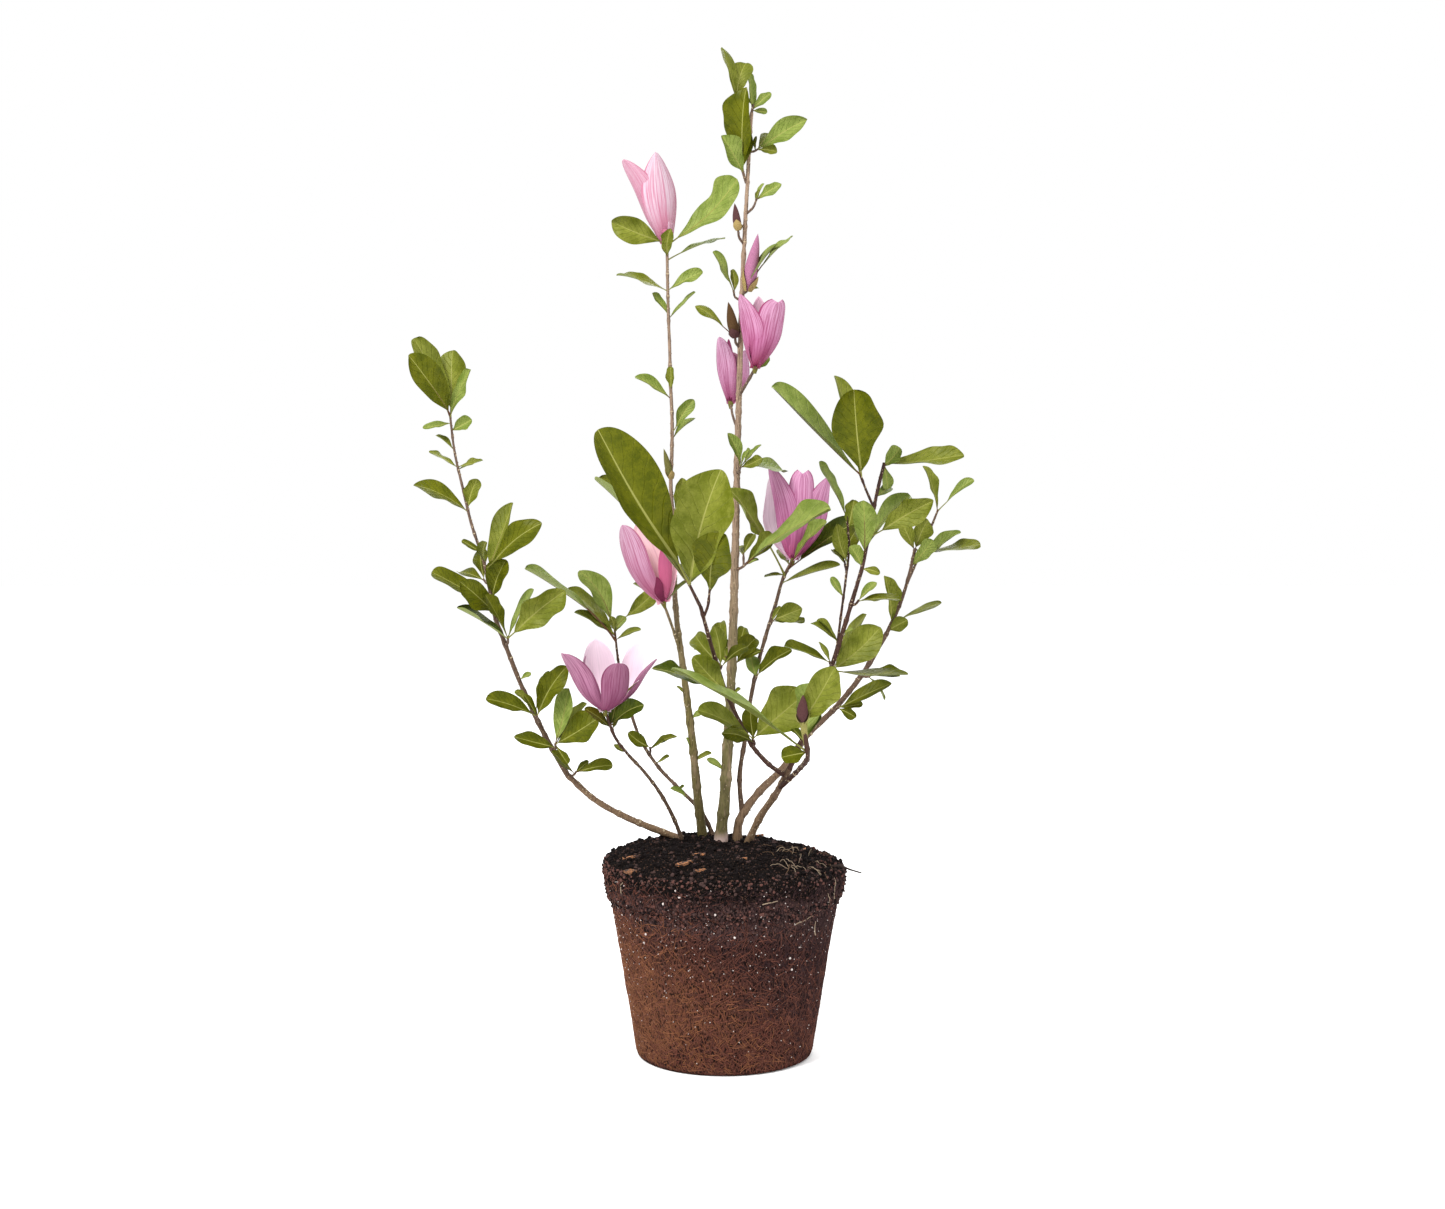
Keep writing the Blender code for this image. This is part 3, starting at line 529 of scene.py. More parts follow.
# Thicker pale roots: a few on the side, a tangle of bare ones on the mound at the right, and
# one dry stick that pokes out over the rim there

PALE_STEP, BARE_STEP = 3.5, 2.4
BARE_ROOTS = 26

dice = random.Random("pale roots")
pale = Heap()
for turn, height, slope, parts in ((-0.42, 186, 1.9, 8), (-0.50, 178, 1.95, 7), (-0.62, 150, 2.2, 6),
                                   (-2.55, 196, 1.4, 5), (-0.9, 168, 0.3, 9), (-1.25, 196, 0.15, 6),
                                   (1.2, 190, 0.5, 9), (2.4, 184, 2.5, 7), (0.3, 172, 2.1, 8)):
    path = []
    for _ in range(parts):
        place, facing = on_side(turn, min(height, 213))
        path.append(place + facing * 0.5)
        turn += PALE_STEP * math.cos(slope) / 130
        height += PALE_STEP * math.sin(slope)
        slope += dice.uniform(-0.25, 0.15)
    pale.add(hoops(path, [0.7 * (1 - 0.5 * index / parts) for index in range(parts)], 5), 0)
for _ in range(BARE_ROOTS):
    across, depth = dice.uniform(56, 120), dice.uniform(-75, 40)
    course = dice.uniform(0, 2 * math.pi)
    arch = dice.uniform(1.5, 6)
    parts = dice.randint(6, 11)
    path = []
    for index in range(parts):
        place, facing = on_top(across, depth)
        if not place or place.z < 200:
            break
        path.append(place + Vector((0, 0, 0.4 + arch * math.sin(math.pi * index / (parts - 1)))))
        across += BARE_STEP * math.cos(course)
        depth += BARE_STEP * math.sin(course)
        course += dice.uniform(-0.45, 0.45)
    if len(path) > 3:
        pale.add(hoops(path, [dice.uniform(0.25, 0.5)] * len(path), 4), dice.choice((0, 0, 1)))
stick = [Vector((118, -52, 222)), Vector((128, -55, 223)), Vector((139, -58, 219)),
         Vector((151, -61, 216))]
pale.add(hoops(stick, [1.1, 1.2, 1.0, 0.8], 6), 2)
pale.piece("pale_roots", flecked({"pale root": (0.36, 0.27, 0.19), "tan root": (0.15, 0.09, 0.055),
                                  "dry stick": (0.04, 0.027, 0.022)}), "compost")


# Trunk and stems: smooth olive bark, greyer and browner higher up, over a whitish collar where
# the trunk meets the compost. Each grows along the same smooth route as its solid.

GAP = 0.3
TIP = 1.0
SPAN_PARTS = 10
FLARE_HEIGHT = 9
STEP, FINE_STEP = 40, 3
FOOT_CROWDING = 1.25
STRAIGHT_UP, STRAIGHT_OUT = 6, 4
FOOT_SUNK, TIP_SUNK, SIDE_SUNK = 7, 2, 0.8
KNOT_SPREAD, WAVE_SPREAD = 2.3, 5.1
LIMBS = {}
KNOTS = {}
BARKS = []
OLIVE, BROWN = "olive_bark", "brown_bark"


def seen(across, up, depth):
    """The point at this depth that shows across and up in the front view."""
    spot = AIM + Vector((across, 0, 0)) + UPRIGHT * (up - AIM.z)
    return EYE + (spot - EYE) * ((depth - EYE.y) / (spot.y - EYE.y))


def shown_up(point):
    """How far up a point shows in the front view."""
    ray = point - EYE
    return AIM.z + (AIM - EYE).length * ray.dot(UPRIGHT) / ray.dot(SIGHT)


class Limb:
    """A limb that tapers along a smooth curve through its points, as a row of ring centres."""

    def __init__(self, points, base, tip, step, flare=0):
        self.base, self.tip, self.flare, self.back = base, tip, flare, 0
        curve = []
        ends = [2 * points[0] - points[1], *points, 2 * points[-1] - points[-2]]
        for a, b, c, d in zip(ends, ends[1:], ends[2:], ends[3:]):
            for part in range(SPAN_PARTS):
                t = part / SPAN_PARTS
                curve.append(0.5 * (2 * b + (c - a) * t + (2 * a - 5 * b + 4 * c - d) * t ** 2
                                    + (3 * b - 3 * c + d - a) * t ** 3))
        self.run_along([*curve, points[-1]])
        rings = max(2, round(self.length / step))
        crowding = FOOT_CROWDING if flare and step == STEP else 1
        self.run_along([self.at((ring / rings) ** crowding) for ring in range(rings + 1)])

    def run_along(self, path):
        self.path = path
        self.marks = [0]
        for before, after in zip(path, path[1:]):
            self.marks.append(self.marks[-1] + (after - before).length)
        self.length = self.marks[-1]

    def at(self, share):
        reach = share * self.length
        for index in range(1, len(self.marks)):
            if reach <= self.marks[index]:
                break
        span = self.marks[index] - self.marks[index - 1]
        return self.path[index - 1].lerp(self.path[index], (reach - self.marks[index - 1]) / span)

    def share_at(self, up):
        """The share of its length at which the limb shows this far up."""
        for index in range(1, len(self.path)):
            low, high = shown_up(self.path[index - 1]), shown_up(self.path[index])
            if up <= high:
                part = (up - low) / (high - low)
                return (self.marks[index - 1]
                        + part * (self.marks[index] - self.marks[index - 1])) / self.length
        return TIP

    def direction(self, share):
        return (self.at(min(share + 0.01, 1)) - self.at(max(share - 0.01, 0))).normalized()

    def radius(self, share):
        taper = self.tip + (self.base - self.tip) * (1 - share) ** 1.4
        return taper + self.flare * math.exp(-share * self.length / FLARE_HEIGHT)

    def bark_line(self, knots):
        """Centres and radii of the fine bark, swollen at its knots and sunk back into its parent."""
        fine = Limb(self.path, self.base, self.tip, FINE_STEP, self.flare)
        centres = list(fine.path)
        radii = []
        for mark in fine.marks:
            share = mark / fine.length
            swell = sum(math.exp(-((share - knot) * fine.length / KNOT_SPREAD) ** 2) for knot in knots)
            radii.append(self.radius(share) * (1 + 0.05 * math.sin(share * fine.length / WAVE_SPREAD))
                         + min(1, swell) * (0.35 + 0.12 * self.radius(share)))
        if self.back:
            centres.insert(0, centres[0] - (centres[1] - centres[0]).normalized() * self.back)
            radii.insert(0, radii[0])
        return centres, radii


def springing(parent, up, toward):
    """Where a shoot starts at a limb's tip or side, clear of its bark, and the way it faces."""
    limb = LIMBS[parent]
    share = TIP if up == TIP else limb.share_at(up)
    centre, ahead = limb.at(share), limb.direction(share)
    KNOTS[parent].append(share)
    if share == TIP:
        return centre + ahead * GAP, ahead
    out = toward - centre
    out = (out - ahead * out.dot(ahead)).normalized()
    return centre + out * (limb.radius(share) + GAP), out


def add_limb(name, points, base, tip, flare, back):
    """back is how far the bark sinks into what the limb springs from."""
    LIMBS[name] = Limb(points, base, tip, STEP, flare)
    LIMBS[name].back = back
    KNOTS[name] = []


def shoot(name, parent, up, route, base, tip):
    """A limb that springs from another one, at its tip or where that one shows this far up."""
    places = [seen(*place) for place in route]
    start, out = springing(parent, up, places[0])
    points = [start, *places] if up == TIP else [start, start + out * STRAIGHT_OUT, *places]
    back = TIP_SUNK if up == TIP else LIMBS[parent].radius(LIMBS[parent].share_at(up)) * SIDE_SUNK
    add_limb(name, points, base, tip, 0, back)


def stem(name, foot, route, base, tip, flare=0):
    """A stem that rises from the compost; foot is its place across and in depth."""
    start = Vector((foot[0], foot[1], GROUND + GAP))
    points = [start, start + Vector((0, 0, STRAIGHT_UP)), *(seen(*place) for place in route)]
    add_limb(name, points, base, tip, flare, FOOT_SUNK)
    BARKS.append((name, OLIVE))


def bough(name, parent, up, route, base, tip):
    shoot(name, parent, up, route, base, tip)
    BARKS.append((name, BROWN))


stem("trunk", (-2, 30), [(3, 300, 31), (10, 430, 34), (14, 560, 35), (16, 650, 34), (21, 830, 30),
                         (27, 960, 28), (32, 1044, 27)], 6.8, 1.9, flare=1.6)
stem("left_tall_stem", (-22, 50), [(-27, 288, 51), (-33, 352, 54), (-43, 430, 59), (-52, 505, 64),
                                   (-54, 596, 70)], 5.7, 2.6)
stem("left_arching_stem", (-41, 42), [(-69, 254, 36), (-112, 272, 25), (-147, 293, 16),
                                      (-170, 315, 10)], 4.1, 3.2)
stem("left_front_stem", (-44, 27), [(-67, 293, 5), (-87, 320, -18), (-103, 337, -38)], 2.4, 1.8)
stem("left_back_stem", (-9, 54), [(-24, 276, 68), (-57, 310, 86), (-84, 342, 100),
                                  (-102, 387, 108)], 2.6, 1.8)
stem("right_stem", (16, 42), [(18, 264, 42), (27, 280, 45), (44, 301, 51), (66, 322, 60),
                              (94, 360, 72), (135, 401, 88), (168, 448, 102), (181, 472, 106)],
     5.0, 2.7, flare=0.8)
stem("front_right_stem", (28, 26), [(35, 261, 18), (52, 283, 0), (61, 299, -12), (74, 323, -30)],
     4.3, 3.7)

# Boughs: each is one limb, split where it bends round a wide gap
bough("left_arching_bough", "left_arching_stem", TIP,
      [(-190, 349, 0), (-217, 404, -10), (-239, 459, -20), (-250, 488, -24)], 3.2, 2.4)
bough("right_upright_bough", "right_stem", 275,
      [(17, 292, 43), (19, 316, 45), (24, 349, 48), (29, 387, 54), (40, 442, 62), (59, 505, 72)],
      2.9, 2.0)
bough("front_left_bough", "front_right_stem", 316,
      [(41, 337, -65), (32, 349, -75), (5, 404, -110), (-14, 464, -148), (-24, 500, -168)], 2.6, 2.0)
bough("dark_bough", "front_right_stem", TIP,
      [(82, 341, -33), (92, 365, -30), (118, 429, -25), (143, 508, -20), (153, 541, -18)], 2.9, 2.3)


# Shoots and what they carry. Each mass grows on one stem. Its leading leaves are told one by one,
# as share of the stem, degrees to the side, degrees to the front, length and width, then where
# they aren't usual the stalk's share of the length and the degrees of the arch.

# One letter for each tone of leaf top. As the leaves are given them, they hold painted light and shade as
# well as the leaves' own tones.
TONES = "DGYPB"
BUNCHES = []


def bunch(name):
    """The masses that follow share one mesh of leaves and one of twigs."""
    BUNCHES.append((name, []))


def mass(name, parent, up, route, base, tip, leaves, tones="", twigs=(), bloom=None, bud_at=None):
    """The mass's own stem comes first; what it carries grows once all stems stand.

    tones has one letter for each leaf: deep green, green, yellowish, pale or brownish. The letters
    follow how light each leaf shows, so besides the leaves' own tones they hold painted light and
    shade, deep green standing partly for shaded leaves. twigs has for each twig how much further to
    the front its two leaves lean, in degrees. bloom is degrees to the side, degrees to the front and
    height, and bud_at is told as a leaf is.
    """
    shoot(name, parent, up, route, base, tip)
    BUNCHES[-1][1].append((name, leaves, tones, twigs, bloom, bud_at))


# Leader: what grows on the trunk, from its tip down

bunch("leader")
mass("leader_left_shoot", "trunk", 968, [(19, 984, 22), (14, 1014, 18), (15, 1058, 16)], 1.5, 1.1,
     [(0.08, 1, 14, 95, 24), (0.16, 12, 2, 40, 16), (0.11, -31, 22, 49, 22), (0.99, -15, 8, 59, 14),
      (TIP, 14, -14, 45, 23)], "GGPYY")
mass("leader_tip_leaves", "trunk", TIP, [(34, 1053, 27)], 1.6, 1.2,
     [(0.31, 48, 0, 28, 10), (0.08, -4, -6, 42, 7), (0.79, -49, -30, 18, 5), (0.26, 95, 0, 17, 7)],
     "PPPP")
mass("leader_right_shoot", "trunk", 1001, [(39, 1004, 20)], 1.4, 1.1,
     [(0.94, 60, 14, 64, 24, 0.14, -22), (TIP, 96, 6, 22, 12), (0.63, 3, 0, 16, 4),
      (0.86, 43, -50, 38, 14)], "PYGY")
mass("leader_right_spur", "trunk", 934, [(38, 950, 20)], 1.4, 1.1,
     [(0.87, 58, 10, 33, 12), (0.94, 26, -5, 19, 4), (0.73, 17, 0, 15, 4)], "PPG")
mass("leader_left_bud", "trunk", 901, [(17, 918, 22)], 1.4, 1.2,
     [(0.57, -17, -10, 20, 5)], "P", bud_at=(0.9, -8, 0, 28, 9))
mass("leader_flower_bud", "trunk", 845, [(29, 852, 15)], 1.6, 1.5,
     [(0.89, 41, 14, 76, 8, 0.45), (0.96, 34, 18, 59, 6), (0.53, 73, -20, 15, 5)], "PPP",
     bud_at=(0.9, 10, 8, 60, 15))
mass("leader_left_leaf", "trunk", 838, [(12, 849, 27)], 1.4, 1.1,
     [(0.9, -27, 8, 49, 11), (0.81, -5, -20, 27, 9)], "PY")
mass("leader_brown_bud", "trunk", 787, [(14, 800, 24)], 1.5, 1.3,
     [(0.74, -52, 10, 57, 11, 0.4)], "Y", bud_at=(0.9, -12, 6, 38, 12))
mass("bloom_two_shoot", "trunk", 735, [(29, 751, 8), (36, 763, -4)], 1.8, 1.6,
     [(0.88, 50, -8, 24, 9)], "P", bloom=(5, 6, 79))
mass("bloom_three_shoot", "trunk", 698, [(11, 712, 44), (9, 724, 57)], 1.5, 1.4,
     [], bloom=(-1, -4, 74))
mass("leader_middle_tuft", "trunk", 648, [(20, 655, 14)], 1.5, 1.2,
     [(0.94, 99, -48, 74, 17), (0.81, 65, 20, 28, 12), (0.99, 43, -8, 34, 6), (0.93, -21, 8, 40, 13),
      (0.92, 28, 25, 25, 5)], "PYPPP")
mass("leader_low_shoot", "trunk", 542, [(27, 549, 16)], 1.6, 1.4,
     [(TIP, 55, 22, 118, 25), (0.67, 41, -6, 48, 17), (0.65, 66, 20, 19, 6)], "PYP", twigs=[(0, -28)])
mass("leader_foot_tuft", "trunk", 432, [(15, 440, 54)], 1.5, 1.3,
     [(0.93, 40, -20, 37, 22), (0.82, 63, 4, 32, 9), (0.77, -51, -40, 32, 13)], "GGY",
     twigs=[(0, 0), (0, 0)])

# Left tall stem

bunch("left_tall")
mass("bloom_five_shoot", "left_tall_stem", 455,
     [(-56, 481, 48), (-61, 495, 42), (-65, 505, 37)], 1.7, 1.5,
     [(0.9, -54, -10, 45, 8), (0.95, 46, -10, 40, 7)], "YY", bloom=(-16, 8, 90))
mass("left_tall_middle", "left_tall_stem", TIP,
     [(-57, 640, 75), (-55, 690, 80), (-57, 740, 84), (-58, 783, 87)], 2.3, 1.9,
     [(0.02, 14, 6, 45, 15, 0.3), (0.51, 33, 0, 45, 15, 0.25), (0.47, 46, -20, 38, 10),
      (0.71, -58, 8, 48, 13), (0.76, 0, 12, 28, 8)], "YPPPY", bud_at=(0.25, -14, 8, 34, 8))
mass("left_tall_top", "left_tall_middle", TIP, [(-60, 838, 90), (-61, 900, 92)], 1.85, 1.7,
     [(0.33, -36, 0, 30, 8), (0.29, 45, 0, 43, 7), (0.55, -72, 6, 61, 14), (0.56, 62, 8, 45, 14),
      (0.98, 47, 10, 108, 30, 0.2, -24), (TIP, -68, 10, 68, 29, 0.2), (0.84, 68, -15, 73, 10, 0.3),
      (0.87, 8, 38, 39, 13)], "PPYPPYPY", bloom=(-7, 4, 98))

# Left arching stem and its bough

bunch("left_arching")
mass("left_bend_tuft", "left_arching_stem", 313, [(-161, 319, -2)], 1.4, 1.2,
     [(0.98, 78, 5, 42, 14), (0.74, 52, -30, 21, 7), (0.59, -40, 24, 41, 10)], "GGG")
mass("left_arch_low_tuft", "left_arching_bough", 343, [(-184, 350, -16)], 1.5, 1.3,
     [(TIP, 57, 10, 58, 30), (0.99, 37, -20, 58, 13), (0.86, 13, 4, 65, 22), (0.55, -73, 14, 48, 17),
      (0.89, 147, 0, 26, 8)], "GYPGG")
mass("left_arch_middle_tuft", "left_arching_bough", 374, [(-205, 381, -22)], 1.5, 1.3,
     [(0.88, 31, 5, 66, 24), (0.99, -69, 12, 59, 15), (0.87, -28, 8, 28, 7)], "GGG",
     twigs=[(0, 42)])
mass("left_arch_high_tuft", "left_arching_bough", 459, [(-236, 466, -34)], 1.5, 1.3,
     [(0.98, 50, 8, 84, 32, 0.2), (0.98, 26, -15, 62, 13), (TIP, -24, 20, 58, 10),
      (0.85, -57, 10, 66, 9)], "YPGD")
mass("left_arch_crown_low", "left_arching_bough", TIP, [(-256, 519, -28), (-263, 553, -32)], 2.1, 1.8,
     [(0.21, -59, 10, 76, 23), (0.09, -42, 35, 61, 26), (0.32, 21, 6, 47, 25),
      (0.7, 19, -10, 86, 23, 0.22), (0.82, 50, 12, 83, 30, 0.22), (0.93, 10, 53, 43, 13)], "GGGYGG",
     twigs=[(0, 0)])
mass("left_arch_crown_middle", "left_arch_crown_low", TIP,
     [(-272, 577, -35), (-280, 607, -38), (-285, 628, -41)], 1.75, 1.5,
     [(0.08, -57, 0, 26, 7), (0.69, -62, 8, 66, 19), (0.74, 19, 0, 34, 16)], "GGY")
mass("left_arch_crown_top", "left_arch_crown_middle", TIP,
     [(-291, 657, -45), (-295, 673, -48), (-300, 714, -52)], 1.45, 1.2,
     [(0.28, 70, 5, 29, 8), (0.29, -60, 0, 36, 9), (0.31, 76, 30, 22, 6), (0.52, -50, -10, 27, 7),
      (0.77, 61, 0, 25, 15), (0.87, -100, 10, 31, 10), (0.92, -23, 5, 94, 22, 0.16),
      (TIP, -31, 30, 84, 24, 0.12), (0.95, 0, -16, 74, 33, 0.2), (0.94, 25, 15, 58, 17, 0.16)],
     "YYYYPPYGYP")

# Left front and left back stems

bunch("left_low")
mass("bloom_six_shoot", "left_front_stem", TIP,
     [(-113, 350, -56), (-125, 368, -72), (-129, 386, -80)], 1.6, 1.6,
     [(0.72, 55, 25, 49, 15), (0.64, -51, 10, 39, 9), (0.64, 31, 0, 16, 5), (0.09, -59, 0, 16, 6),
      (0.71, 15, -40, 42, 20)], "DBBYD", bloom=(0, 12, 76))
mass("left_back_tuft", "left_back_stem", 339, [(-80, 346, 88)], 1.4, 1.2,
     [(TIP, -54, 5, 31, 15), (0.92, 66, 0, 34, 8), (0.74, 54, 20, 22, 5)], "GGG")
mass("left_back_crown", "left_back_stem", TIP,
     [(-110, 420, 112), (-116, 445, 114), (-119, 479, 116)], 1.55, 1.3,
     [(0.84, 67, 0, 32, 8), (0.88, -59, 8, 56, 11), (TIP, -30, 6, 78, 23, 0.2),
      (0.89, -47, -12, 79, 17), (0.82, -49, 18, 140, 15, 0.45), (0.99, 48, 8, 67, 19, 0.36),
      (0.94, -11, 40, 26, 9), (0.92, 27, -30, 24, 11)], "YYPYPYYP")

# Right stem and the upright bough on it

bunch("right")
mass("right_low_tuft", "right_stem", 386, [(128, 390, 70)], 1.5, 1.3,
     [(0.98, 64, 6, 67, 21, 0.14, -16), (0.98, 83, -8, 29, 10), (0.87, 118, 0, 23, 12)], "GGG")
mass("right_middle_tuft", "right_stem", 425, [(162, 424, 84)], 1.5, 1.3,
     [(0.95, 89, 4, 35, 8), (0.84, 146, -15, 35, 7), (0.98, 83, 8, 37, 11)], "YGG")
mass("right_crown", "right_stem", TIP, [(197, 508, 112), (206, 538, 116), (212, 565, 118)], 2.45, 2.0,
     [(0.02, 60, 12, 26, 16), (0.11, -9, 8, 57, 18), (0.1, 66, 5, 63, 9, 0.3),
      (0.97, -25, 10, 42, 17), (0.78, 38, 10, 41, 18), (0.88, 59, 4, 63, 15, 0.2, -22),
      (0.98, 84, 8, 75, 13, 0.2, -26), (TIP, 26, -26, 41, 23)], "YYYYPPYY")
mass("right_far_shoot", "right_crown", 530,
     [(222, 570, 132), (230, 590, 134), (237, 607, 134)], 1.5, 1.3,
     [(0.98, -18, 4, 56, 13), (TIP, 48, 4, 55, 11, 0.35)], "YP")
mass("upright_low_tuft", "right_upright_bough", 420, [(38, 425, 46)], 1.5, 1.3,
     [(TIP, 52, 10, 50, 14, 0.14, 44), (0.7, -13, -30, 28, 17)], "GP")
mass("upright_high_tuft", "right_upright_bough", 481, [(55, 486, 60)], 1.5, 1.3,
     [(TIP, 67, 8, 37, 21), (0.95, 89, 0, 37, 11), (0.95, 33, -20, 20, 6)], "YYY")
mass("bloom_four_shoot", "right_upright_bough", TIP, [(68, 536, 76), (77, 552, 79)], 1.95, 1.9,
     [(0.43, 72, 10, 70, 12), (0.76, 36, 25, 78, 17, 0.3), (0.62, -31, 34, 143, 19, 0.5),
      (0.78, 56, -6, 98, 22, 0.25), (0.64, -95, 10, 24, 4), (0.85, -23, -60, 41, 15)], "YPYDGY",
     bloom=(2, 4, 100))

# Front right stem, with its front bough, the nearest shoot, and the dark bough

bunch("front_right")
mass("front_low_tuft", "front_left_bough", 349, [(33, 356, -92)], 1.5, 1.4,
     [(0.98, -58, 26, 76, 19), (TIP, 48, 10, 78, 47), (0.71, -5, -10, 37, 18),
      (0.6, -68, 40, 49, 16)], "YYGG")
mass("front_middle_tuft", "front_left_bough", 400, [(6, 405, -124)], 1.5, 1.3,
     [(0.71, -69, 6, 87, 13, 0.3), (0.99, -41, 20, 60, 25)], "DY")
mass("front_high_tuft", "front_left_bough", 430, [(-1, 436, -122)], 1.5, 1.3,
     [(0.98, -10, -20, 44, 16), (0.84, -43, -35, 50, 18), (0.85, 55, -30, 38, 13)], "YYG", twigs=[(0, 0)])
mass("front_crown_left", "front_left_bough", TIP, [(-31, 514, -177), (-37, 526, -180)], 1.8, 1.6,
     [(TIP, 15, 12, 126, 58, 0.12), (0.97, -30, 10, 186, 56, 0.2), (0.95, -42, -12, 148, 26, 0.1),
      (0.93, 12, -70, 48, 27)], "YGGG")
mass("front_crown_right", "front_left_bough", 492, [(-16, 509, -176), (-14, 520, -178)], 1.5, 1.4,
     [(TIP, 12, 34, 76, 41, 0.14), (0.77, 19, -56, 50, 18)], "GY")
mass("nearest_shoot", "front_right_stem", 306,
     [(82, 320, -62), (90, 328, -115), (94, 337, -160), (90, 356, -176), (88, 375, -182)], 2.9, 2.5,
     [(0.8, -57.5, 8, 168, 16, 0.14, 12), (TIP, 29, 10, 68, 34), (0.8, -100, 10, 28, 20),
      (0.88, 5, -25, 62, 30)], "PYGP", twigs=[(14, 0)], bud_at=(TIP, 0, 0, 32, 12))
mass("dark_low_tuft", "dark_bough", 436, [(118, 440, -40)], 1.5, 1.3,
     [(0.98, -70, 8, 54, 11), (0.99, -29, 0, 26, 6)], "GY")
mass("dark_back_leaves", "dark_bough", 428, [(122, 431, -12)], 1.5, 1.3,
     [(0.99, 48, -4, 71, 34), (TIP, 92, 4, 83, 13, 0.2, -14), (TIP, 32, -25, 77, 12)], "YGY")
mass("parallel_shoot", "dark_bough", 458,
     [(129, 482, -10), (134, 519, -6), (139, 560, -2), (137, 600, 2)], 1.5, 1.2,
     [(0.03, -55, 10, 37, 8), (0.02, -43, -10, 34, 6), (0.38, -31, 0, 26, 9), (0.64, -16, 10, 46, 17),
      (0.99, -26, 0, 69, 12), (0.9, 12, -14, 34, 16)], "YYPYPY", twigs=[(0, 0)])
mass("dark_high_tuft", "dark_bough", 503, [(150, 508, -30)], 1.5, 1.3,
     [(0.98, 44, 5, 28, 9), (0.83, 87, 8, 48, 11)], "PG")
mass("dark_crown_low", "dark_bough", TIP, [(160, 574, -17), (164, 597, -16)], 2.3, 2.1,
     [(0.02, 102, 14, 21, 9), (0.27, -3, 22, 66, 26), (0.62, 59, 12, 83, 27, 0.28, -12),
      (0.47, 43, -30, 85, 19), (0.06, -31, 4, 27, 15)], "YPYPP")
mass("dark_crown_top", "dark_crown_low", TIP, [(173, 640, -14), (178, 659, -13)], 2.1, 2.0,
     [(TIP, 83, 8, 87, 22, 0.15, -16), (0.92, 40, 0, 28, 17), (TIP, 170, -16, 29, 13),
      (0.38, 52, -50, 31, 12)], "YPPP")
mass("dark_side_shoot", "dark_crown_top", 612, [(158, 629, -22), (151, 647, -26)], 1.5, 1.3,
     [(0.85, -6, 12, 99, 51, 0.16), (TIP, -13, -14, 114, 25, 0.1), (TIP, -45, 5, 136, 21, 0.1, -7)],
     "GYP")


# Bark of the trunk, stems and boughs: a bevelled curve through fine rings, thicker at the nodes,
# with the skin's shallow lumps and lengthwise wrinkles pushed into the mesh.

BARK_SIDES = 12
WRINKLE_SIZE, WRINKLE_DEPTH = 6, 0.16
NODE_SPACING, NODE_GAP = 34, 11


def bark_finish(name, low, high, dark, where=0.0, collar=0):
    """Bark that goes from one colour to another up its length, with darker lengthwise streaks.

    collar is 1 for bark that is cream where it meets the compost.
    """
    finish = Finish(name, 0.62, Specular_IOR_Level=0.15)
    up = finish.part(finish.place(), 2)
    streaks = finish.noise(finish.place((900, 900, 70)), 1, 3)
    patches = finish.noise(finish.place((90, 90, 30)), 1, 2)
    grain = finish.noise(finish.place(), 1500, 1)
    bark = finish.mix((up + patches * 0.12 - 0.06).from_to(where, where + 0.25), low, high)
    bark = finish.mix(streaks.from_to(0.47, 0.68) * 0.75, bark, dark)
    bark = finish.mix(patches.from_to(0.52, 0.7) * 0.4, bark, shade(high, 1.5))
    bark = finish.mix((up + patches * 0.01).from_to(0.241, 0.251) * collar + (1 - collar),
                      (0.42, 0.31, 0.27), bark)
    return finish.coat(bark, streaks * 0.9 + grain * 0.3, 0.8)


OLIVE_BARK = bark_finish("olive bark", (0.112, 0.090, 0.030), (0.205, 0.140, 0.098),
                         (0.030, 0.020, 0.010), 0.36)
TAN_BARK = bark_finish("tan bark", (0.240, 0.155, 0.085), (0.095, 0.057, 0.038),
                       (0.040, 0.022, 0.014), 0.15)
BROWN_BARK = bark_finish("brown bark", (0.098, 0.060, 0.038), (0.110, 0.070, 0.050),
                         (0.026, 0.015, 0.011), 0.4)
DARK_BARK = bark_finish("dark red-brown bark", (0.052, 0.023, 0.015), (0.044, 0.020, 0.015),
                        (0.012, 0.006, 0.005), 0.4)
TRUNK_BARK = bark_finish("trunk bark", (0.112, 0.096, 0.036), (0.250, 0.170, 0.118),
                         (0.030, 0.020, 0.010), 0.36, 1)
BARK_OF = {"trunk": TRUNK_BARK, "left_tall_stem": OLIVE_BARK, "right_stem": TAN_BARK,
           "front_right_stem": TAN_BARK, "dark_bough": DARK_BARK, "front_left_bough": DARK_BARK,
           "left_arching_stem": TAN_BARK}


def knots_of(name):
    """Shares of a limb's length where it is thicker: at its shoots, and at bare nodes between."""
    length = LIMBS[name].length
    knots = [knot for knot in KNOTS[name] if knot < 0.99]
    dice = random.Random(name + " nodes")
    mark = NODE_SPACING * dice.uniform(0.5, 1)
    while mark < length - 8:
        if all(abs(mark - knot * length) > NODE_GAP for knot in knots):
            knots.append(mark / length)
        mark += NODE_SPACING * dice.uniform(0.6, 1.2)
    return knots


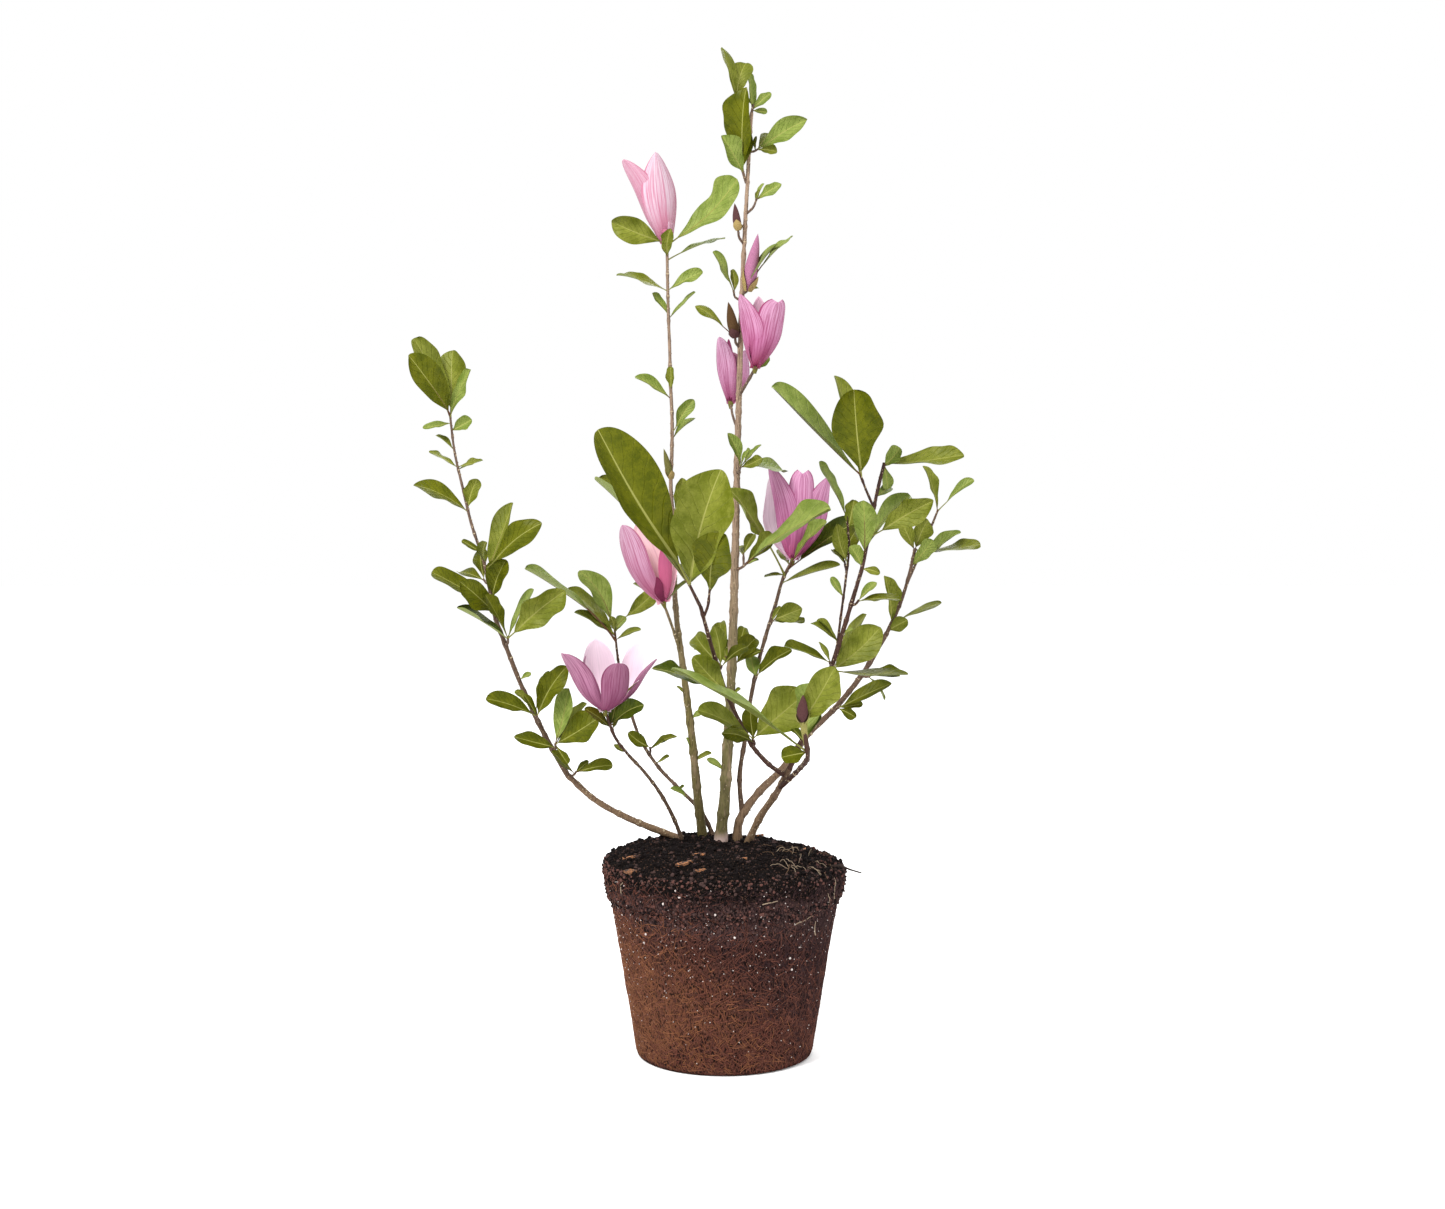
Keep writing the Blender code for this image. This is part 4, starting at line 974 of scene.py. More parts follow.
def bark(name, slot):
    limb = LIMBS[name]
    centres, radii = limb.bark_line(knots_of(name))
    curve = bpy.data.curves.new(name + "_bark", "CURVE")
    curve.dimensions = "3D"
    curve.bevel_depth = 1
    curve.bevel_resolution = BARK_SIDES // 2 - 2
    curve.use_fill_caps = True
    spline = curve.splines.new("POLY")
    spline.points.add(len(centres) - 1)
    for point, centre, radius in zip(spline.points, centres, radii):
        point.co = (*(centre * MM), 1)
        point.radius = radius * MM
    taken_up(name + "_bark", curve)
    bpy.ops.object.convert(target="MESH")
    piece = bpy.context.object
    wrinkles = bpy.data.textures.new(name + " wrinkles", "CLOUDS")
    wrinkles.noise_scale = WRINKLE_SIZE * MM
    relief = piece.modifiers.new("relief", "DISPLACE")
    relief.texture = wrinkles
    relief.strength = WRINKLE_DEPTH * limb.base * MM
    bpy.ops.object.modifier_apply(modifier="relief")
    bpy.ops.object.mode_set(mode="EDIT")
    bpy.ops.mesh.select_all(action="SELECT")
    bpy.ops.mesh.remove_doubles(threshold=0.000005)
    bpy.ops.mesh.normals_make_consistent(inside=False)
    bpy.ops.object.mode_set(mode="OBJECT")
    bpy.ops.object.shade_smooth_by_angle(angle=math.radians(70))
    piece.data.materials.clear()
    piece.data.materials.append(BARK_OF.get(name, BROWN_BARK))
    planted(piece, [name])


for name, slot in BARKS:
    bark(name, slot)

# Cream leaf scars at the nodes, and pale breathing pores along the bark: small raised lenses

def lens(heap, limb, share, turn, long, wide, finish):
    """An oval lens on the bark, this far along the limb and this far round it."""
    centre, ahead = limb.at(share), limb.direction(share)
    side = ahead.orthogonal().normalized()
    out = spoke(side, ahead.cross(side), turn)
    beside = ahead.cross(out)
    foot = centre + out * (limb.radius(share) * 0.98)
    rings = []
    for height, size in ((-0.4, 1), (0.25, 0.95), (0.5, 0.6)):
        rings.append([foot + out * height * min(wide, 0.9)
                      + size * spoke(ahead * long, beside * wide, part * math.pi / 4)
                      for part in range(8)])
    heap.add([*rings, [foot + out * 0.55 * min(wide, 0.9)]], finish, pointed=True)


PORES_PER_MM = {"thick": 0.75, "thin": 0.45}
THICK = 4

dice = random.Random("scars and pores")
marks = Heap()
for name, limb in LIMBS.items():
    for knot in knots_of(name):
        turn = dice.uniform(0, 2 * math.pi)
        size = 0.6 + 0.3 * limb.radius(knot)
        for twist in (0, dice.uniform(0.7, 1.1)):
            lens(marks, limb, min(knot + 0.8 / limb.length, 1), turn + twist, size * 0.8, size, 0)
    pores = round(limb.length * PORES_PER_MM["thick" if limb.base > THICK else "thin"])
    for _ in range(pores):
        share = dice.uniform(0.02, 1)
        lens(marks, limb, share, dice.uniform(0, 2 * math.pi), dice.uniform(0.4, 1.1),
             dice.uniform(0.35, 0.75), 1 if dice.random() < 0.55 else 0)
marks.piece("leaf_scars_and_pores", flecked({"cream leaf scar": (0.50, 0.40, 0.26),
                                             "pale pore": (0.36, 0.27, 0.18)}), "olive_bark")


# Leaves: thin and leathery, widest past the middle, on a short stalk that runs on as a pale
# midrib. Each blade is one closed skin, arched, folded along the midrib and waved at its edges.

LEAF_BREADTH = 0.42
SHOWN_THICKNESS = 0.5
RIB = 0.42
ACROSS = (1, 0.86, 0.64, 0.4, 0.18, 0)
ROWS_BELOW = ((34, 10), (62, 16), (110, 26), (math.inf, 44))
ROW_CROWDING = 1.45
MIDRIB_DIP = 0.25
PALE_UNDERSIDES, RED_STALKS = 0.6, 0.3
GOLDEN = math.radians(137.5)
SHORT_STALK = 0.14
# Each leaf of a twig: its share of the twig, degrees to the side of it, and breadth by length
TWIG_LEAVES = ((0.9, 30, 0.36), (0.7, -35, 0.3))


def veins(finish):
    """1 along the side veins, which run forward from the midrib to the edge, and 0 between."""
    spot = finish.pattern()
    waver = finish.noise(finish.pattern((3, 5, 1)), 1, 1)
    phase = finish.part(spot, 1) * 8 - abs(finish.part(spot, 0) * 2 - 1) * 2.1 + waver * 0.9
    return (abs(phase % 1 - 0.5) * 2) ** 12


def leaf_top(name, colour, edge):
    """Upper side of a leaf: side veins a shade paler, slightly quilted between them."""
    finish = Finish(name, 0.42, Specular_IOR_Level=0.08)
    vein = veins(finish)
    blotch = finish.noise(finish.place(), 70, 4, 0.7)
    speck = finish.noise(finish.place(), 700, 3)
    aside = abs(finish.part(finish.pattern(), 0) * 2 - 1)
    green = finish.mix(blotch.from_to(0.36, 0.66), colour, edge)
    green = finish.mix(speck.from_to(0.45, 0.75) * 0.5, green, shade(colour, 0.5))
    green = finish.mix((1 - aside * 1.6).at_least(0) * 0.3 + vein * 0.3, green,
                       shade(edge, 1.5, 0.004))
    return finish.coat(green, speck * 0.3 - vein * 0.9, 0.8)


def leaf_under(name, colour):
    finish = Finish(name, 0.6, Specular_IOR_Level=0.06)
    vein = veins(finish)
    green = finish.mix(vein * 0.4, colour, shade(colour, 1.35, 0.03))
    return finish.coat(green, vein * 0.6, 0.5)


UNDER, DARK_UNDER, MIDRIB, GREEN_STALK, RED_STALK = range(5, 10)
# The five tones of leaf top are the leaves' own tones and also painted light and shade: deep green stands
# partly for shaded leaves.
LEAF_FINISHES = [
    leaf_top("deep green leaf", (0.028, 0.042, 0.001), (0.058, 0.074, 0.002)),
    leaf_top("plain green leaf", (0.050, 0.060, 0.001), (0.092, 0.098, 0.003)),
    leaf_top("yellow-green leaf", (0.088, 0.104, 0.006), (0.150, 0.162, 0.022)),
    leaf_top("pale green leaf", (0.110, 0.152, 0.022), (0.185, 0.225, 0.050)),
    leaf_top("brownish green leaf", (0.046, 0.048, 0.001), (0.090, 0.076, 0.004)),
    leaf_under("leaf underside", (0.170, 0.200, 0.060)),
    leaf_under("shaded leaf underside", (0.085, 0.100, 0.016)),
    plain("midrib", (0.24, 0.24, 0.06), 0.5),
    plain("green stalk", (0.16, 0.16, 0.035), 0.5),
    plain("reddish stalk", (0.085, 0.036, 0.016), 0.5)]


def heading(side, forward):
    """The direction that is turned side degrees from straight up and forward degrees to the front."""
    side, forward = math.radians(side), math.radians(forward)
    return Vector((math.sin(side) * math.cos(forward), -math.sin(forward),
                   math.cos(side) * math.cos(forward)))


class Leaf:
    """A leaf from base, turned side degrees from straight up and forward degrees to the front.

    Width is as it shows from the front: the blade is turned about its midrib to look that wide.
    """

    def __init__(self, base, side, forward, length, width, stalk, bend, fold):
        self.base, self.length, self.stalk = base, length, stalk
        self.along = heading(side, forward)
        full = max(width, LEAF_BREADTH * length * (1 - stalk))
        self.half = full / 2
        facing = Vector((0, -1, 0.25))
        facing = (facing - self.along * facing.dot(self.along)).normalized()
        beside = self.along.cross(facing)
        self.shown = width / full
        turn = math.acos(self.shown) * (1 if beside.z > 0 else -1)
        self.normal = spoke(facing, beside, turn)
        self.bend, self.fold = math.radians(bend), math.radians(fold)

    def station(self, share):
        """Middle, ahead and upper direction at a share of the leaf's length."""
        angle = self.bend * (share - 0.5)
        reach = self.length / (2 * math.sin(self.bend / 2))
        middle = self.base + reach * (
            (math.sin(angle) + math.sin(self.bend / 2)) * self.along
            + (math.cos(angle) - math.cos(self.bend / 2)) * self.normal)
        ahead = self.along * math.cos(angle) - self.normal * math.sin(angle)
        upper = self.normal * math.cos(angle) + self.along * math.sin(angle)
        return middle, ahead, upper

    def grow(self, heap, dice, tone):
        """The fine leaf: its blade, and its stalk that runs on below as the midrib."""
        rows = next(rows for limit, rows in ROWS_BELOW if self.length < limit)
        start_at = max(0.02, self.stalk - 0.07)
        twist = math.radians(dice.uniform(-38, 38)) * self.shown ** 1.5
        sway, droop = dice.uniform(-0.05, 0.05), dice.uniform(-0.03, 0.10) * self.shown
        rise, fall = dice.uniform(0.95, 1.3), dice.uniform(0.45, 0.78)
        if self.length > 90:
            rise, fall = rise - 0.15, fall * 0.8
        flat = 0.35 + 0.65 * self.shown
        widest = rise / (rise + fall)
        most = widest ** rise * (1 - widest) ** fall
        waves = [(dice.uniform(0, 6.3), dice.uniform(0.6, 1.5), dice.uniform(0, 6.3),
                  dice.uniform(0.04, 0.14), self.fold * flat * dice.uniform(0.6, 2.2)) for _ in range(2)]
        ruffle = dice.uniform(0.022, 0.052) * min(self.length, 120) * flat
        rings, places = [], []
        spine = []
        for row in range(rows + 1):
            share = 1 - (1 - row / rows) ** ROW_CROWDING
            middle, ahead, upper = self.station(start_at + share * (1 - start_at))
            turn = twist * (share - 0.2)
            beside = ahead.cross(upper)
            beside, upper = spoke(beside, upper, turn), spoke(upper, -beside, turn)
            middle = (middle + beside * (sway * self.length * math.sin(math.pi * share))
                      - upper * (droop * self.length * max(0, share - 0.72) ** 2 * 4))
            spine.append((middle, upper))
            if row == rows:
                break
            half = max(0.5, self.half * 1.03 * share ** rise * (1 - share) ** fall / most)
            top, under, over, below = [], [], [], []
            for way, (start, count, start_up, depth, fold) in zip((-1, 1), waves):
                edge = half * (1 + depth * math.sin(start + 6.28 * count * 1.7 * share))
                frill = (math.sin(start_up + 6.28 * count * share)
                         + 0.25 * math.sin(start + 6.28 * count * 2.6 * share))
                rib = min(RIB * (1.4 - share) * max(1, self.length / 60), edge * 0.6)
                side_top, side_under, side_places = [], [], []
                for out in ACROSS:
                    aside = rib + (edge - rib) * out
                    lift = (aside * math.sin(fold) * (0.55 + 0.45 * out)
                            + ruffle * out ** 2 * min(1, share * 3) * frill)
                    thick = SHOWN_THICKNESS / 2 * (1 - 0.5 * out ** 4) * max(1, self.length / 90)
                    dip = MIDRIB_DIP if out == 0 else 0
                    spot = middle + beside * (way * aside) + upper * lift
                    side_top.append(spot + upper * (thick - dip))
                    side_under.append(spot - upper * thick)
                    side_places.append((0.5 + way * out / 2, share))
                if way < 0:
                    top, over = side_top, side_places
                    under, below = side_under, side_places
                else:
                    top, over = top + side_top[::-1], over + side_places[::-1]
                    under, below = side_under[1:] + under[:0:-1], side_places[1:] + below[:0:-1]
            rings.append(top + under)
            places.append(over + below)
        rings.append([spine[-1][0]])
        places.append([(0.5, 1)])
        wide = 2 * len(ACROSS) - 1
        underside = UNDER if dice.random() < PALE_UNDERSIDES else DARK_UNDER
        sides = [tone] * wide + [underside] * wide
        sides[wide // 2] = MIDRIB
        heap.add(rings, sides, places, pointed=True)
        self.grow_stalk(heap, dice, spine)

    def grow_stalk(self, heap, dice, spine):
        thick = 0.55 + self.length * 0.0045
        path = [self.station(max(0.02, self.stalk - 0.07) * part / 4)[0] for part in range(5)]
        path += [middle - upper * 0.28 for middle, upper in spine[2:-2:2]]
        radii = [max(0.16, thick * (1 - 0.85 * index / len(path))) for index in range(len(path))]
        radii[0] *= 1.5
        heap.add(hoops(path, radii, 5), RED_STALK if dice.random() < RED_STALKS else GREEN_STALK)


def leaf_on(limb, dice, share, side, forward, length, width, stalk=SHORT_STALK, bend=None):
    """A leaf at a share of a limb's length, arched and folded by chance unless its arch is told."""
    usual, fold = dice.uniform(8, 32), dice.uniform(10, 30)
    apart = Vector([dice.uniform(-0.4, 0.4) for _ in range(3)])
    base = limb.at(min(share, 1 - 1.2 / limb.length)) + apart
    return Leaf(base, side, forward, length, width, stalk, bend or usual, fold)


def twig_on(limb, dice, number, count):
    """A short twig on the far side of a stem."""
    start = limb.at(0.15 + 0.8 * (number + dice.random()) / count)
    turn = math.radians(90 + 45 * math.sin(GOLDEN * number + dice.random()))
    out = Vector((math.cos(turn), math.sin(turn), dice.uniform(0.3, 0.9))).normalized()
    length = dice.uniform(9, 20)
    return Limb([start, start + out * length / 2, start + out * length + Vector((0, 0, 2))],
                1.3, 1.0, length)


def grown(limb, dice, leaves, tones, twigs):
    """The leaves with their tones, and the twigs, that one stem carries."""
    blades = [(leaf_on(limb, dice, *leaf), tone) for leaf, tone in zip(leaves, tones)]
    woods = []
    for number, leans in enumerate(twigs):
        twig = twig_on(limb, dice, number, len(twigs))
        out = twig.direction(TIP)
        side, forward = math.degrees(math.atan2(out.x, out.z)), math.degrees(math.asin(-out.y))
        tone = "DGGY"[len(blades) % 4]
        for lean, (share, turn, breadth) in zip(leans, TWIG_LEAVES):
            length = dice.uniform(26, 50)
            blades.append((leaf_on(twig, dice, share, side + turn, forward + lean, length,
                                   length * breadth), tone))
        woods.append(twig)
    return blades, woods


# Blooms: goblets of two whorls of three broad petals and a small inner one, mauve to pink
# outside and darkest at the foot, nearly white inside, on a green seat with stamens within.

PETAL_ROWS = 18
PETAL_ACROSS = 12
PETAL_CROWDING = 1.5
PETAL_THIN = 0.8
BELLY_AT = 0.55
STAMENS, PISTILS = 18, 8
# The last finish is a darker copy of the outside: painted shade for petals that should look shaded.
OUTSIDE, INSIDE, SEAT, STAMEN, DEEP, PAINTED_SHADE_OUTSIDE = range(6)


def petal_outside(name, foot, middle, tip, streak):
    """Outside of a petal: fine lengthwise streaks in a colour that pales from foot to tip."""
    finish = Finish(name, 0.55, Specular_IOR_Level=0.2)
    spot = finish.pattern()
    along = finish.part(spot, 1)
    aside = abs(finish.part(spot, 0) * 2 - 1)
    lines = finish.noise(finish.pattern((20, 1.2, 1)), 1, 3)
    fine = finish.noise(finish.pattern((60, 3, 1)), 1, 2)
    cloud = finish.noise(finish.place(), 60, 3)
    colour = finish.mix((along + cloud * 0.5 - 0.25).from_to(0.3, 1), middle, tip)
    colour = finish.mix((along + aside * 0.12 + lines * 0.3 - 0.15).from_to(0.0, 0.5), foot, colour)
    spine = (1 - aside * 3.5).at_least(0) * (1 - along) * 0.7
    # Darker towards the edges: partly the petals' own coloured rims, partly painted shade for depth.
    rim = (aside - 0.82).at_least(0) * 5.5 * (0.35 + along)
    colour = finish.mix(lines.from_to(0.44, 0.60) * 0.65 + fine.from_to(0.5, 0.66) * 0.35 + spine + rim,
                        colour, streak)
    return finish.coat(colour, lines * 0.8 + fine * 0.3, 0.6)


def petal_inside(name, foot, tip):
    finish = Finish(name, 0.55, Specular_IOR_Level=0.2)
    along = finish.part(finish.pattern(), 1)
    lines = finish.noise(finish.pattern((24, 1.4, 1)), 1, 3)
    colour = finish.mix(along.from_to(0.0, 0.5), foot, tip)
    colour = finish.mix(lines.from_to(0.46, 0.66) * 0.55, colour, shade(foot, 0.75))
    return finish.coat(colour, lines * 0.4, 0.4)


class Bloom:
    """The axis of a bloom or bud on its base, turned to the side and to the front as a leaf is."""

    def __init__(self, base, side, forward, height):
        self.base, self.height = base, height
        self.axis = heading(side, forward)
        self.across = (Vector((1, 0, 0)) - self.axis * self.axis.x).normalized()
        self.beside = self.axis.cross(self.across)

    def spot(self, radius, turn, rise):
        """The point this far out and round from the axis, and this far up it."""
        return self.base + self.axis * rise + radius * spoke(self.across, self.beside, turn)

    def grow_petal(self, heap, dice, facing, belly, tip, tall, width, point, outside=OUTSIDE):
        """The fine petal: a spoon whose belly and tip lie this far right and back of the axis.

        point is 1 for a sharp tip, 0 for a round one and -1 for a notched one.
        """
        twist, curl = dice.uniform(-0.15, 0.15), [dice.uniform(-0.16, 0.14) for _ in range(2)]
        wave, start = dice.uniform(0.006, 0.016) * self.height, dice.uniform(0, 6.3)
        sharp, notch = max(0, point), max(0, -point) * 0.06 * self.height
        belly, tip = Vector(belly), Vector(tip)
        rings, places = [], []
        for row in range(PETAL_ROWS + 1):
            share = 1 - (1 - row / PETAL_ROWS) ** PETAL_CROWDING
            swell = math.sin(min(1, share / BELLY_AT) * math.pi / 2)
            centre = belly * swell ** 0.85 + (tip - belly) * (max(0, share - 0.4) / 0.6) ** 1.5
            half = width / 1.65 * (0.34 + 0.66 * swell)
            if share > BELLY_AT:
                ending = (share - BELLY_AT) / (1 - BELLY_AT)
                half *= max(0, 1 - ending ** (2.6 - sharp + 2.2 * max(0, -point))) ** (0.5 + 0.5 * sharp)
            bend = 2 + half * (0.9 + 0.4 * share)
            rise = (share * tall + 0.02 * (1 - share)) * self.height - 2 * (1 - share)
            turn = math.radians(facing) + twist * share
            middle = self.spot(0, 0, rise) + self.across * centre.x + self.beside * centre.y
            if row == PETAL_ROWS:
                rings.append([middle])
                places.append([(0.5, 1)])
                break
            ring, spots = [], []
            for face, way in ((1, 1), (-1, -1)):
                for step in range(PETAL_ACROSS + (face > 0)):
                    if face < 0 and step == 0:
                        continue
                    across = way * (2 * step / PETAL_ACROSS - 1)
                    angle = half * across / bend
                    off = (PETAL_THIN / 2 * (1 - across ** 6) * face
                           + curl[across > 0] * half * across ** 2 * share
                           + wave * across ** 2 * math.sin(start + 9 * share + 2 * across) * share
                           - 0.5 * math.exp(-(across / 0.07) ** 2) * (1 - share))
                    out = (bend + off) * math.cos(angle) - bend
                    aside = (bend + off) * math.sin(angle)
                    lift = notch * abs(across) * max(0, share - 0.75) / 0.25
                    ring.append(middle + self.axis * lift
                                + self.across * (out * math.cos(turn) - aside * math.sin(turn))
                                + self.beside * (out * math.sin(turn) + aside * math.cos(turn)))
                    spots.append((0.5 + across / 2, share))
            rings.append(ring)
            places.append(spots)
        heap.add(rings, [outside] * PETAL_ACROSS + [INSIDE] * PETAL_ACROSS, places, pointed=True)

    def grow(self, heap, dice, petals):
        for petal in petals:
            self.grow_petal(heap, dice, *petal)
        rings = [[self.spot(radius, math.radians(30 * side), rise) for side in range(12)]
                 for radius, rise in ((1.7, -6), (2.1, -4), (2.8, -2), (3.1, 0.5), (2.6, 3))]
        heap.add([*rings, [self.spot(0, 0, 6)]], SEAT, pointed=True)
        for number in range(STAMENS + PISTILS):
            turn, tall = GOLDEN * number, 5 + number * 0.42
            lean = 2.2 + 2.4 * (1 - number / (STAMENS + PISTILS))
            heap.add(hoops([self.spot(1.6, turn, 2), self.spot(lean, turn, tall * 0.7),
                            self.spot(lean * 0.9, turn, tall)], (0.55, 0.75, 0.3), 5),
                     STAMEN if number < STAMENS else SEAT)

    def grow_bud(self, heap, dice, width, core, scale):
        """A closed bud: a ribbed spindle that is furled in a spiral, in two split scales."""
        rings = []
        for step in range(15):
            share = step / 15
            swell = (0.36 + 0.64 * math.sin(share / 0.3 * math.pi / 2) if share < 0.3
                     else (1 - ((share - 0.3) / 0.7) ** 1.8) ** 0.9)
            ring = []
            for side in range(16):
                turn = math.pi * side / 8
                rib = 1 + 0.06 * math.cos(3 * (turn - share * 2.2))
                ring.append(self.spot(width / 2 * swell * rib, turn, (share * 1.05 - 0.05) * self.height))
            rings.append(ring)
        heap.add([*rings, [self.spot(0, 0, self.height)]], core, pointed=True)
        turn = dice.uniform(0, 6.3)
        for number, tall in enumerate((0.42, 0.3)):
            shell = []
            for step in range(7):
                share = step / 6
                wide = 1.25 * (1 - share ** 2.2) + 0.04
                radius = width / 2 * (0.5 + 0.62 * math.sin(min(1, share * 1.6) * math.pi / 2)) + 0.35
                rise = (share * tall - 0.06) * self.height
                shell.append([self.spot(radius + thick, turn + number * 2.9 + wide * aside, rise)
                              for thick, asides in ((0.35, (-1, -0.5, 0, 0.5, 1)),
                                                    (-0.25, (0.9, 0, -0.9)))
                              for aside in asides])
            heap.add(shell, scale)


# Growing it all: each bunch's leaves are one piece, its twigs and buds another, and each bloom one

WOODS = [TAN_BARK, BROWN_BARK, DARK_BARK, OLIVE_BARK,
         *flecked({"lilac bud": (0.40, 0.16, 0.27), "tan bud scale": (0.36, 0.26, 0.10),
                   "brown bud": (0.09, 0.048, 0.02), "green bud": (0.145, 0.135, 0.04),
                   "purple-brown bud": (0.090, 0.038, 0.038),
                   "yellow-green bud scale": (0.30, 0.27, 0.085)})]
WOOD_NAMES = [finish.name for finish in WOODS]
BARK_OF_BUNCH = {"leader": "brown bark", "left_tall": "olive bark", "left_arching": "brown bark",
                 "left_low": "dark red-brown bark", "right": "tan bark",
                 "front_right": "dark red-brown bark"}
# The bud itself and its scales
BUD_COLOURS = {"leader_left_bud": ("purple-brown bud", "tan bud scale"),
               "leader_flower_bud": ("lilac bud", "tan bud scale"),
               "leader_brown_bud": ("brown bud", "purple-brown bud"),
               "left_tall_middle": ("green bud", "tan bud scale"),
               "nearest_shoot": ("purple-brown bud", "yellow-green bud scale")}
# How much further to the front a bud leans, in degrees, clear of the leaf beside it
BUD_LEAN = {"nearest_shoot": 25}
# Each bloom's piece, then its petals' colours: foot, middle, tip and streaks outside, and foot and
# tip inside. Then each petal: the way its outside faces, in degrees from the right towards the
# back, how far right and back of the axis its belly and its tip lie, its share of the bloom's
# height, its width, how pointed it is, and its finish where that isn't the usual one.
# The darker outside finish on one petal of bloom one and one of bloom six is painted shade.
BLOOMS = {
    "left_tall_top": (
        "bloom_one",
        ((0.38, 0.09, 0.16), (0.463, 0.32, 0.39), (0.52, 0.42, 0.48), (0.37, 0.12, 0.19),
         (0.46, 0.25, 0.31), (0.52, 0.35, 0.41)),
        ((242, (-14, -6), (-36, -10), 1.0, 30, 0.3, PAINTED_SHADE_OUTSIDE), (283, (0, -12), (0, -4), 1.04, 37, 0.8),
         (325, (9, -2), (11, -2), 0.42, 13, 0.2), (262, (-1, -11), (0, -9), 0.17, 7, 0, DEEP),
         (60, (2, 8), (0, 3), 0.74, 26, 0.3), (130, (-6, 8), (-6, 2), 0.72, 26, 0.3))),
    "bloom_two_shoot": (
        "bloom_two",
        ((0.17, 0.006, 0.03), (0.365, 0.118, 0.236), (0.46, 0.24, 0.36), (0.2, 0.025, 0.085),
         (0.44, 0.22, 0.31), (0.5, 0.31, 0.39)),
        ((243, (-7, -10), (-23, -8), 1.0, 27, 0.6), (298, (13, -10), (18, -8), 0.93, 31, -1),
         (85, (0, 10), (-3, 6), 0.98, 24, 0.7), (150, (-9, 8), (-8, 8), 0.7, 26, 0.2),
         (20, (10, 8), (9, 8), 0.7, 26, 0.2))),
    "bloom_three_shoot": (
        "bloom_three",
        ((0.2, 0.03, 0.085), (0.375, 0.175, 0.28), (0.465, 0.27, 0.385), (0.19, 0.035, 0.095),
         (0.36, 0.13, 0.22), (0.44, 0.22, 0.3)),
        ((245, (-5, -8), (-11, -6), 1.0, 21, 0.3), (255, (0, -2), (-1, -3), 0.97, 9, 0.5, DEEP),
         (300, (16, -4), (17, -2), 0.8, 14, 0.2), (90, (4, 8), (3, 5), 0.78, 24, 0.3))),
    "bloom_four_shoot": (
        "bloom_four",
        ((0.33, 0.04, 0.12), (0.446, 0.155, 0.305), (0.54, 0.27, 0.42), (0.27, 0.055, 0.15),
         (0.7, 0.5, 0.61), (0.8, 0.65, 0.73)),
        ((250, (-10, -17), (-30, -16), 1.1, 30, 0.7), (274, (7, -20), (7, -16), 1.0, 29, -1),
         (292, (25, -10), (36, -8), 0.97, 30, 0.5), (125, (-29, 8), (-27, 6), 0.93, 27, 0.1),
         (90, (2, 18), (2, 14), 0.66, 36, 0.1), (40, (16, 14), (18, 12), 0.64, 30, 0.1))),
    "bloom_five_shoot": (
        "bloom_five",
        ((0.36, 0.07, 0.145), (0.375, 0.17, 0.262), (0.44, 0.275, 0.365), (0.25, 0.055, 0.12),
         (0.64, 0.33, 0.42), (0.74, 0.49, 0.52)),
        ((250, (-17, -12), (-18, -8), 1.1, 29, 0.1), (98, (8, 12), (2, 6), 1.09, 40, 0.3),
         (290, (13, -7), (23, -4), 0.76, 15, 0.3, DEEP), (160, (-12, 6), (-10, 5), 0.8, 26, 0.2),
         (270, (0, -11), (2, -9), 0.36, 9, 0.4, STAMEN))),
    "bloom_six_shoot": (
        "bloom_six",
        ((0.16, 0.026, 0.075), (0.29, 0.109, 0.191), (0.36, 0.175, 0.26), (0.13, 0.022, 0.065),
         (0.74, 0.6, 0.68), (0.69, 0.54, 0.62)),
        ((248, (-22, -16), (-42, -22), 0.95, 29, -0.1), (95, (-6, 20), (-10, 18), 1.0, 33, 0.4),
         (80, (27, 16), (36, 18), 0.97, 23, 0.4), (280, (12, -20), (16, -24), 0.82, 27, 0, PAINTED_SHADE_OUTSIDE),
         (300, (34, 2), (56, 4), 0.76, 10, 0.5), (150, (-16, 14), (-20, 16), 0.78, 22, 0.3),
         (300, (19, -2), (37, 0), 0.46, 3.5, 0.4, SEAT)))}
HEART_FINISHES = flecked({"bloom seat": (0.15, 0.14, 0.035), "stamen": (0.16, 0.022, 0.06)})


def painted_shade(colour, streak):
    """The colour halfway to that of the streaks: painted shade, for petals whose outside should look
    shaded.
    """
    return tuple((part + deep) / 2 for part, deep in zip(colour, streak))


def show_bloom(name, flower):
    title, (foot, middle, tip, streak, inner_foot, inner_tip), petals = BLOOMS[name]
    heap = Heap()
    flower.grow(heap, random.Random(name + " petals"), petals)
    heap.piece(title, [petal_outside(title + " outside", foot, middle, tip, streak),
                       petal_inside(title + " inside", inner_foot, inner_tip), *HEART_FINISHES,
                       petal_outside(title + " deep outside", foot, foot, streak, foot),
                       # A darker copy of the outside, gone halfway to the streaks' colour: painted shade
                       # for shaded petals.
                       petal_outside(title + " flushed outside", foot, painted_shade(middle, streak),
                                     painted_shade(tip, streak), streak)],
               "bloom", [name], crease=60)


